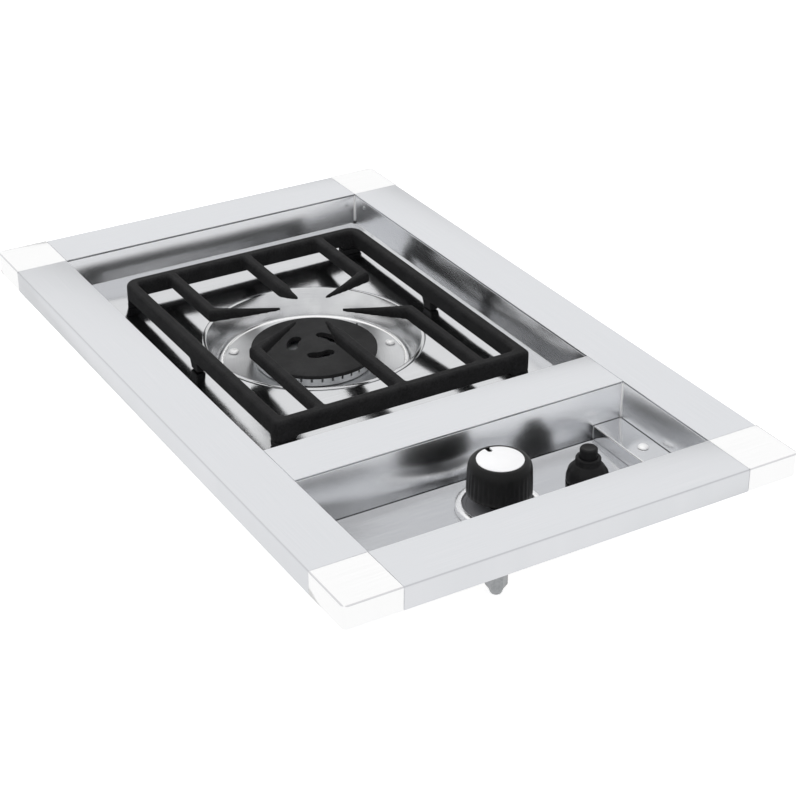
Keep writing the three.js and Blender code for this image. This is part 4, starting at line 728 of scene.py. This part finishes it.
def enamel(name, light, dark, rough, speck_mm, relief_mm, strength=0.5, specular=0.5):
    """Baked enamel, paint or glaze: a fine orange-peel surface with darker specks, which breaks up
    its highlights."""
    cloud_mm = 12
    material = bpy.data.materials.new(name)
    tree = blank_tree(material)
    place = add_node(tree, "ShaderNodeTexCoord").outputs["Object"]
    specks = add_node(
        tree, "ShaderNodeTexNoise",
        {"Scale": 1 / (speck_mm * mm), "Detail": 5.0, "Roughness": 0.65}, {"Vector": place},
    ).outputs["Fac"]
    cloud = add_node(
        tree, "ShaderNodeTexNoise", {"Scale": 1 / (cloud_mm * mm), "Detail": 2.0},
        {"Vector": place},
    )
    tone = add_node(
        tree, "ShaderNodeMath", {"operation": "MULTIPLY_ADD", 1: 0.5},
        {0: cloud.outputs["Fac"], 2: specks},
    )
    tone = add_node(
        tree, "ShaderNodeMapRange", {"From Min": 0.5, "From Max": 1.0}, {"Value": tone.outputs[0]}
    )
    colour = add_node(
        tree, "ShaderNodeMix", {"data_type": "RGBA", 6: linear(dark), 7: linear(light)},
        {0: tone.outputs[0]},
    )
    roughness = add_node(
        tree, "ShaderNodeMapRange", {"To Min": rough[0], "To Max": rough[1]}, {"Value": specks}
    )
    relief = add_node(
        tree, "ShaderNodeBump", {"Strength": strength, "Distance": relief_mm * mm},
        {"Height": specks},
    )
    surface = add_node(
        tree, "ShaderNodeBsdfPrincipled", {"Metallic": 0.0, "Specular IOR Level": specular},
        {
            "Base Color": colour.outputs[2], "Roughness": roughness.outputs[0],
            "Normal": relief.outputs[0],
        },
    )
    add_node(tree, "ShaderNodeOutputMaterial", links={"Surface": surface.outputs[0]})
    return material


# Satin enamel: charcoal with a soft grey sheen that fine specks break up.
cap_enamel = enamel(
    "satin_dark_enamel", "2B2B2C", "121213", (0.48, 0.68), speck_mm=1.4, relief_mm=0.16,
    specular=0.2,
)
cap_top, cap_radius, cap_thickness, cap_rim, cap_dome = -18.7, 50.5, 2.8, 0.8, 1.4
slot_outer, slot_inner, slot_middle, slot_half, slot_reach = 22.2, 13.4, 17.8, 4.4, 23
loops = [circle((0, burner_y), cap_radius, 120, cap_top)]
for middle in (20, 140, 260):
    start, end = middle - slot_reach, middle + slot_reach
    tail, head = [
        (
            slot_middle * math.cos(math.radians(turn)),
            burner_y + slot_middle * math.sin(math.radians(turn)),
        )
        for turn in (start, end)
    ]
    loops.append(
        arc((0, burner_y), slot_outer, start, end, 10, cap_top)
        + arc(head, slot_half, end, end + 180, 10, cap_top)[1:-1]
        + arc((0, burner_y), slot_inner, end, start, 10, cap_top)
        + arc(tail, slot_half, start + 180, start + 360, 10, cap_top)[1:-1]
    )
bm = pierced_sheet(loops, cap_thickness, cap_rim, rim_steps=3)
grid_mm, grid_steps = 8, range(-6, 7)
for step in grid_steps:
    for way in ((1, 0, 0), (0, 1, 0)):
        cut = (Vector((0, burner_y, 0)) + Vector(way) * grid_mm * step) * mm
        everything = bm.verts[:] + bm.edges[:] + bm.faces[:]
        bmesh.ops.bisect_plane(bm, geom=everything, plane_co=cut, plane_no=way)
for vert in bm.verts:
    if vert.co.z > (cap_top - cap_rim - 0.1) * mm:
        reach = (vert.co.xy - Vector((0, burner_y * mm))).length / (cap_radius * mm)
        vert.co.z += cap_dome * mm * max(0, 1 - reach**2)
turned(
    [
        [37.7, -21.6], [39.7, -21.6], [39.7, -23.4], [39.3, -23.7], [38.1, -23.7], [37.7, -23.4],
    ],
    (0, burner_y, 0), steps=96, onto=bm,
)
as_piece(bm, "enamelled_cap", cap_enamel, "burner_cap", body="burner_cap")

# Bowl screws: three pan-head steel screws in zinc plate, painted nearly white as a painted
# highlight. They hold the plate, the bowl and the base together.
for node in ("bowl_screw_1", "bowl_screw_2", "bowl_screw_3"):
    bm = dressed_copy(node, 0.3)
    as_piece(bm, node + "_pan_head", zinc_white_highlight, node)

# Spark electrode: a glazed ceramic tube with a collar round a drawn steel wire, which ends beside
# the cap. A plated clip holds it under the base.
spark_x, spark_y = 50.73, 94.69
# Glazed ceramic: ivory white and glossy. Drawn wire: mid grey steel with a soft shine.
glaze = enamel(
    "glazed_ceramic", "EFEBE2", "E4DFD4", (0.15, 0.3), speck_mm=1.5, relief_mm=0.01
)
bm = turned(
    [
        [1.2, -58.4], [2.7, -58.4], [3, -58.1], [3, -38.9], [4.7, -38.9], [5, -38.6], [5, -36.3],
        [4.7, -36], [3, -36], [3, -25.2], [2.6, -24.5], [2.2, -24.4], [1.2, -24.4],
    ],
    (spark_x, spark_y, 0), steps=32,
)
as_piece(bm, "spark_ceramic", glaze, "electrode_ceramic")
wire_steel = bright_metal("drawn_wire_steel", "9A9C9F", "7C7E82", (0.25, 0.4), patch_mm=1)
bm = turned(
    [[0, -64.4], [0.6, -64.4], [0.9, -64.1], [0.9, -20.6], [0.6, -20.1], [0, -20]],
    (spark_x, spark_y, 0), steps=20,
)
as_piece(bm, "spark_wire", wire_steel, "electrode_wire")
bm = dressed_copy("electrode_clip", 0.2)
as_piece(bm, "spark_clip", zinc_plate, "electrode_clip")

# Grate: one rough sand casting in matt black, with every edge worn round and every inner corner
# filled. It stands on four rubber pads, pressed into its legs, and on a foot at each side.
def as_casting(bm, grit_mm, rounds):
    """The same form as a casting, resurfaced with small square faces and smoothed."""
    mesh = bpy.data.meshes.new("pattern")
    bm.to_mesh(mesh)
    bm.free()
    pattern = bpy.data.objects.new("pattern", mesh)
    bpy.context.scene.collection.objects.link(pattern)
    resurface = pattern.modifiers.new("resurface", "REMESH")
    resurface.mode = "VOXEL"
    resurface.voxel_size = grit_mm * mm
    wear = pattern.modifiers.new("wear", "SMOOTH")
    wear.factor = 0.5
    wear.iterations = rounds
    depsgraph = bpy.context.evaluated_depsgraph_get()
    worn = bpy.data.meshes.new_from_object(pattern.evaluated_get(depsgraph))
    casting = bmesh.new()
    casting.from_mesh(worn)
    for spent in (worn, mesh):
        bpy.data.meshes.remove(spent)
    return casting


# Matt black cast iron: a coarse pebbled skin, nearly black, with grey glints on its grains.
cast_iron = enamel(
    "matt_black_cast_iron", "262627", "0A0A0B", (0.55, 0.82), speck_mm=1.5, relief_mm=0.34,
    strength=1.0, specular=0.16,
)
bm = as_casting(dressed_copy("grate", 0), grit_mm=1.0, rounds=5)
as_piece(bm, "cast_grate", cast_iron, "grate", body="grate", smooth_deg=70)
# Rubber: flat black, without any glints.
pad_rubber = enamel(
    "black_rubber_pad", "161617", "0F0F10", (0.6, 0.8), speck_mm=0.8, relief_mm=0.05,
    specular=0.25,
)
for corner in ("front_left", "front_right", "rear_left", "rear_right"):
    node = "grate_pad_" + corner
    bm = dressed_copy(node, 0.6, crease_deg=50)
    as_piece(bm, node + "_rubber", pad_rubber, node, body="grate")

# Mixing tube: a die cast aluminium barrel, in which gas and air mix. It has a socket on the
# base's throat and a wider mouth at the jet.
bm = turned(
    [
        [6.1, -164], [14.6, -164], [15, -163.6], [15, -150], [14.4, -147.5], [12.9, -141.5],
        [12.5, -139], [12.5, 37.5], [12.9, 39], [14.6, 42.6], [14.9, 44], [14.9, 56.9],
        [14.6, 57.2], [13.6, 57.2], [13.6, 43.2], [11.2, 38.2], [11.2, -140], [13.7, -150],
        [13.7, -162.8], [6.1, -162.8],
    ],
    (0, 0, gas_line), axis="Y", steps=64,
)
as_piece(bm, "cast_mixing_tube", cast_grey, "mixing_tube")

# Air shutter: a cup pressed from 1.2 mm plated steel, with three round windows and a tab. It
# turns on the mixing tube's mouth and lets in more or less air.
shutter_front, shutter_radius, jet_bore = -165.5, 16.5, 6.1
window_ring, window_radius = 10.1, 3
shutter_sheet = 1.2
loops = [circle((0, 0), shutter_radius, 60, 0), circle((0, 0), jet_bore, 24, 0)]
for middle in (0, 120, 240):
    turn = math.radians(middle)
    window = (window_ring * math.cos(turn), window_ring * math.sin(turn))
    loops.append(circle(window, window_radius, 24, 0))
bm = pierced_sheet(loops, shutter_sheet)
upright = Matrix.Rotation(math.pi / 2, 3, "X")
bmesh.ops.rotate(bm, cent=(0, 0, 0), matrix=upright, verts=bm.verts)
bmesh.ops.translate(bm, vec=Vector((0, shutter_front, gas_line)) * mm, verts=bm.verts)
turned(
    [
        [15.3, -164.4], [16.5, -164.4], [16.5, -152.7], [16.3, -152.5], [15.5, -152.5],
        [15.3, -152.7],
    ],
    (0, 0, gas_line), axis="Y", steps=60, onto=bm,
)
tab = bmesh.ops.create_cube(bm, size=1)["verts"]
bmesh.ops.scale(bm, vec=Vector((5, 13, shutter_sheet)) * mm, verts=tab)
bmesh.ops.translate(bm, vec=Vector((18.4, -159, gas_line)) * mm, verts=tab)
round_edges(bm, in_order(e for v in tab for e in v.link_edges), 0.3)
as_piece(bm, "pressed_shutter", zinc_plate, "air_shutter", body="shutter")

# Under-parts: the tube's hanger, a zinc plated strap, and the heat shield, a tray folded from
# dull aluminised steel. Plated nuts hold both on studs under the pan.
bm = dressed_copy("tube_hanger", 0.25)
as_piece(bm, "hanger_strap", zinc_plate, "tube_hanger")
# Aluminised sheet: dull grey with a broad coarse grain.
shield_sheet = rolled_sheet(
    "aluminised_steel_sheet", "C2C4C6", "ABADB0", "X", grain_mm=1.2, rough=(0.35, 0.5), bump=0.3
)
bm = dressed_copy("heat_shield", 0.35, least_edge_mm=5)
as_piece(bm, "shield_tray", shield_sheet, "heat_shield")
for node in (
    "hanger_nut_1", "hanger_nut_2", "shield_nut_1", "shield_nut_2", "shield_nut_3", "shield_nut_4",
):
    bm = dressed_copy(node, 0.2)
    as_piece(bm, node + "_hex", zinc_plate, node)

# Gas valve: turned and drilled brass, with a flange screwed up under the front pan. The jet is
# screwed into its outlet at the rear, and a gland nut closes it round the stem; the nut is painted
# dark as painted shadow under the knob.
knob_y = -194.4
# Turned brass: a warm yellow half gloss.
turned_brass = bright_metal("turned_brass", "C9AA66", "B08F4C", (0.22, 0.36), patch_mm=2)
bm = dressed_copy("valve_body", 0.3, crease_deg=40)
as_piece(bm, "brass_valve", turned_brass, "valve_body")
# Painted shadow: the gland nut's brass is painted a dark brownish grey, as the shade under the
# knob.
gland_shadow_dark = bright_metal("brass_painted_shadow", "4A4947", "3A3938", (0.32, 0.46), patch_mm=2)
for node, finish in (("gas_jet", turned_brass), ("gland_nut", gland_shadow_dark)):
    bm = dressed_copy(node, 0.2, crease_deg=40)
    as_piece(bm, node + "_turned", finish, node)
for node in ("valve_screw_1", "valve_screw_2"):
    bm = dressed_copy(node, 0.25)
    as_piece(bm, node + "_pan_head", zinc_plate, node)

# Inlet nut: a plated hexagon under the valve, where the supply line is screwed on. Its end is
# turned to a taper.
bm = dressed_copy("inlet_nut", 0.5, crease_deg=40)
inlet_end, taper_length, taper_share = -95, 7, 0.62
bmesh.ops.bisect_plane(
    bm, geom=bm.verts[:] + bm.edges[:] + bm.faces[:],
    plane_co=(0, 0, (inlet_end + taper_length) * mm), plane_no=(0, 0, 1),
)
end_verts = [v for v in bm.verts if v.co.z < (inlet_end + taper_length / 2) * mm]
to_axis = Matrix.Translation((0, -knob_y * mm, 0))
bmesh.ops.scale(bm, vec=(taper_share, taper_share, 1), space=to_axis, verts=end_verts)
# Dull zinc: a blotchy mid grey.
dull_zinc = bright_metal("dull_zinc_plate", "B4B6B8", "808284", (0.3, 0.45), patch_mm=1.6)
as_piece(bm, "inlet_hexagon", dull_zinc, "inlet_nut")

# Bezel: a bright steel ring with a rounded brow, turned on a lathe, which lies on the pan's floor
# round the knob. A moulded disc in dark grey plastic lies on its ledge.
bm = turned(
    [
        [24, -24.3], [30.9, -24.3], [30.9, -21], [30.7, -20.2], [30.2, -19.6], [29.6, -19.3],
        [26.9, -19.3], [26.4, -19.45], [26.2, -19.9], [26.2, -22.3], [24, -22.3],
    ],
    (0, knob_y, 0), steps=96,
)
# Satin turned steel: it looks nearly white, with a soft dark line where it mirrors the knob.
satin_turned = bright_metal("satin_turned_steel", "FEFEFE", "FAFAFA", (0.22, 0.32), patch_mm=6)
as_piece(bm, "turned_bezel", satin_turned, "bezel_ring")


def moulded(name, light, dark, rough, grain_mm=0.6, relief_mm=0.02, specular=0.5):
    """Moulded plastic or rubber with the fine spark-eroded grain of its mould, drawn coarser than
    the real one, and patches of wear in its gloss."""
    wear_mm = 9
    material = bpy.data.materials.new(name)
    tree = blank_tree(material)
    place = add_node(tree, "ShaderNodeTexCoord").outputs["Object"]
    grain = add_node(
        tree, "ShaderNodeTexNoise", {"Scale": 1 / (grain_mm * mm), "Detail": 3.0},
        {"Vector": place},
    )
    wear = add_node(
        tree, "ShaderNodeTexNoise", {"Scale": 1 / (wear_mm * mm), "Detail": 3.0},
        {"Vector": place},
    ).outputs["Fac"]
    colour = add_node(
        tree, "ShaderNodeMix", {"data_type": "RGBA", 6: linear(dark), 7: linear(light)}, {0: wear}
    )
    roughness = add_node(
        tree, "ShaderNodeMapRange", {"To Min": rough[0], "To Max": rough[1]}, {"Value": wear}
    )
    relief = add_node(
        tree, "ShaderNodeBump", {"Strength": 0.3, "Distance": relief_mm * mm},
        {"Height": grain.outputs["Fac"]},
    )
    surface = add_node(
        tree, "ShaderNodeBsdfPrincipled", {"Metallic": 0.0, "Specular IOR Level": specular},
        {
            "Base Color": colour.outputs[2], "Roughness": roughness.outputs[0],
            "Normal": relief.outputs[0],
        },
    )
    add_node(tree, "ShaderNodeOutputMaterial", links={"Surface": surface.outputs[0]})
    return material


# Grey plastic: a mid grey, flat and matt beside the bright ring.
grey_moulding = moulded("dark_grey_abs", "707073", "606064", (0.4, 0.55), specular=0.4)
bm = turned(
    [
        [8.2, -22], [25.7, -22], [25.9, -21.8], [25.9, -21], [25.7, -20.8], [23.2, -20.8],
        [22.8, -21.1], [22.4, -20.8], [8.2, -20.8],
    ],
    (0, knob_y, 0), steps=96,
)
as_piece(bm, "bezel_disc", grey_moulding, "bezel_plate")

# Knob: moulded in black phenolic with thirty-six fine flutes, and hollow below. It is pushed on
# the valve's flatted stem and sinks with it.
# Black phenolic: deep black with a faint soft shine.
knob_black = moulded("black_phenolic", "0F0F10", "090909", (0.34, 0.48), specular=0.22)
flute_count, flute_depth, fluted_from = 36, 0.35, 22.5
flute_top, top_fade, flute_foot, foot_fade = 9.5, 4, -9.9, 1.5
bm = turned(
    [
        [20, -9.9], [23, -9.9], [23.3, -9.6], [23.3, -6], [23.15, 0], [23, 4.5], [22.85, 8],
        [22.5, 10.6], [21.8, 13], [20.6, 14.6], [19.4, 15.35], [18.2, 15.6], [17.1, 15.6],
        [17.1, 14.1], [4.2, 14.1], [4.2, 4.4], [4.2, -9.6], [7.6, -9.6], [7.6, 9.1], [20, 9.1],
    ],
    (0, knob_y, 0), steps=flute_count * 6,
)
for vert in bm.verts:
    arm = vert.co - Vector((0, knob_y * mm, vert.co.z))
    if arm.length >= fluted_from * mm:
        height = vert.co.z / mm
        below_top = min(1, max(0, (flute_top - height) / top_fade))
        above_foot = min(1, max(0, (height - flute_foot) / foot_fade))
        wave = 0.5 - 0.5 * math.cos(flute_count * math.atan2(arm.y, arm.x))
        vert.co -= arm.normalized() * flute_depth * mm * below_top * above_foot * wave**2
as_piece(bm, "fluted_knob", knob_black, "knob_body", body="knob", smooth_deg=50)

# Knob plate: a glossy white moulded disc, pressed into the knob's top, with the notch that
# points at the setting. Under it are the valve's plated stem and the collar of the spring.
# White plastic: bright and glossy, with a trace of unevenness.
white_plate = moulded(
    "white_gloss_abs", "F6F6F7", "F0F0F2", (0.2, 0.3), grain_mm=1.5, relief_mm=0.005
)
plate_top, plate_radius, plate_thickness = 15.9, 16.8, 1.5
notch_half, notch_centre = 1.9, 13.3
notch_turn = math.degrees(math.asin(notch_half / plate_radius))
loop = arc((0, knob_y), plate_radius, 90 + notch_turn, 450 - notch_turn, 90, plate_top)
loop += arc((0, knob_y + notch_centre), notch_half, 0, -180, 8, plate_top)
bm = pierced_sheet([loop], plate_thickness, rim_mm=0.3)
as_piece(bm, "knob_disc", white_plate, "knob_plate", body="knob")
bm = dressed_copy("valve_stem", 0.3, crease_deg=40)
as_piece(bm, "flatted_stem", zinc_plate, "valve_stem", body="knob")
bm = dressed_copy("stem_collar", 0.2, crease_deg=40)
as_piece(bm, "spring_seat", zinc_plate, "stem_collar", body="push_collar")


# Knob spring: a coil of round spring steel wire on the gland. In the burner it is squeezed shorter
# when the knob is pushed in, and lifts it again; here it is built at its rest length.
def coil(centre, radius, wire, low, high, turns, sides=10, steps=24):
    """A coil of round wire, swept round its axis while it rises."""
    bm = bmesh.new()
    ring = bmesh.ops.create_circle(bm, cap_ends=True, segments=sides, radius=wire * mm)["verts"]
    upright = Matrix.Rotation(math.pi / 2, 3, "X")
    bmesh.ops.rotate(bm, cent=(0, 0, 0), matrix=upright, verts=ring)
    start = Vector((centre[0] + radius, centre[1], low + wire))
    bmesh.ops.translate(bm, vec=start * mm, verts=ring)
    face = in_order(f for v in ring for f in v.link_faces)
    edges = in_order(e for f in face for e in f.edges)
    rise = (high - low - 2 * wire) / (turns * steps)
    bmesh.ops.spin(
        bm, geom=ring + face + edges, cent=Vector((*centre, 0)) * mm, axis=(0, 0, 1),
        dvec=(0, 0, rise * mm), angle=turns * 2 * math.pi, steps=turns * steps, use_merge=False,
    )
    bmesh.ops.recalc_face_normals(bm, faces=bm.faces)
    return bm


bm = coil((0, knob_y), radius=5.55, wire=0.55, low=-20.7, high=-12.2, turns=4)
spring = as_piece(bm, "knob_coil", wire_steel, "knob_spring")
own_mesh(spring)

# Igniter: a push button in a bell-shaped, faintly ribbed rubber boot, which is screwed on the
# spark module under the pan. A coil spring lifts the button, and a brass tab takes the lead.
igniter_x = 75.5
# Moulded rubber: black, a little lighter and more matt than the knob.
boot_rubber = moulded("black_rubber", "141415", "0D0D0E", (0.45, 0.65), specular=0.24)
bm = turned(
    [
        [10.3, -24.3], [15.2, -24.3], [15.5, -24], [15.5, -21.6], [15.4, -19.6], [15.05, -17.6],
        [14.3, -15.6], [13.1, -13.9], [11.7, -12.4], [10.9, -11.4], [10.45, -10.8], [9.6, -10.6],
        [9.3, -10.2], [9.3, -6.2], [9, -5.5], [8.4, -5.2], [6.95, -5.2], [6.95, -17.1],
        [10.3, -17.1],
    ],
    (igniter_x, knob_y, 0), steps=120,
)
rib_count, rib_depth, rib_foot, rib_top, ribbed_from = 12, 0.5, -22, -11, 10.6
for vert in bm.verts:
    arm = vert.co - Vector((igniter_x * mm, knob_y * mm, vert.co.z))
    height = vert.co.z / mm
    if arm.length > ribbed_from * mm and rib_foot < height < rib_top:
        wave = 0.5 - 0.5 * math.cos(rib_count * math.atan2(arm.y, arm.x))
        swell = math.sin(math.pi * (height - rib_foot) / (rib_top - rib_foot))
        vert.co -= arm.normalized() * rib_depth * mm * wave * swell
as_piece(bm, "igniter_boot", boot_rubber, "igniter_nut", smooth_deg=50)
bm = turned(
    [
        [0, -36], [2.3, -36], [2.6, -35.7], [2.6, -11.4], [6.2, -11.4], [6.5, -11.1], [6.5, 0.9],
        [6.35, 1.6], [5.95, 2.1], [5.3, 2.4], [4.6, 2.4], [4.1, 2.2], [0, 2.0],
    ],
    (igniter_x, knob_y, 0), steps=64,
)
as_piece(bm, "push_button", boot_rubber, "igniter_button", body="igniter_push")
bm = coil(
    (igniter_x, knob_y), radius=4.1, wire=0.5, low=-33.7, high=-11.7, turns=6, sides=8, steps=20
)
spring = as_piece(bm, "igniter_coil", wire_steel, "igniter_spring")
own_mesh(spring)
bm = dressed_copy("igniter_module", 0.4, crease_deg=40)
as_piece(bm, "spark_module", boot_rubber, "igniter_module")
bm = dressed_copy("igniter_terminal", 0.15)
as_piece(bm, "spade_terminal", turned_brass, "igniter_terminal")
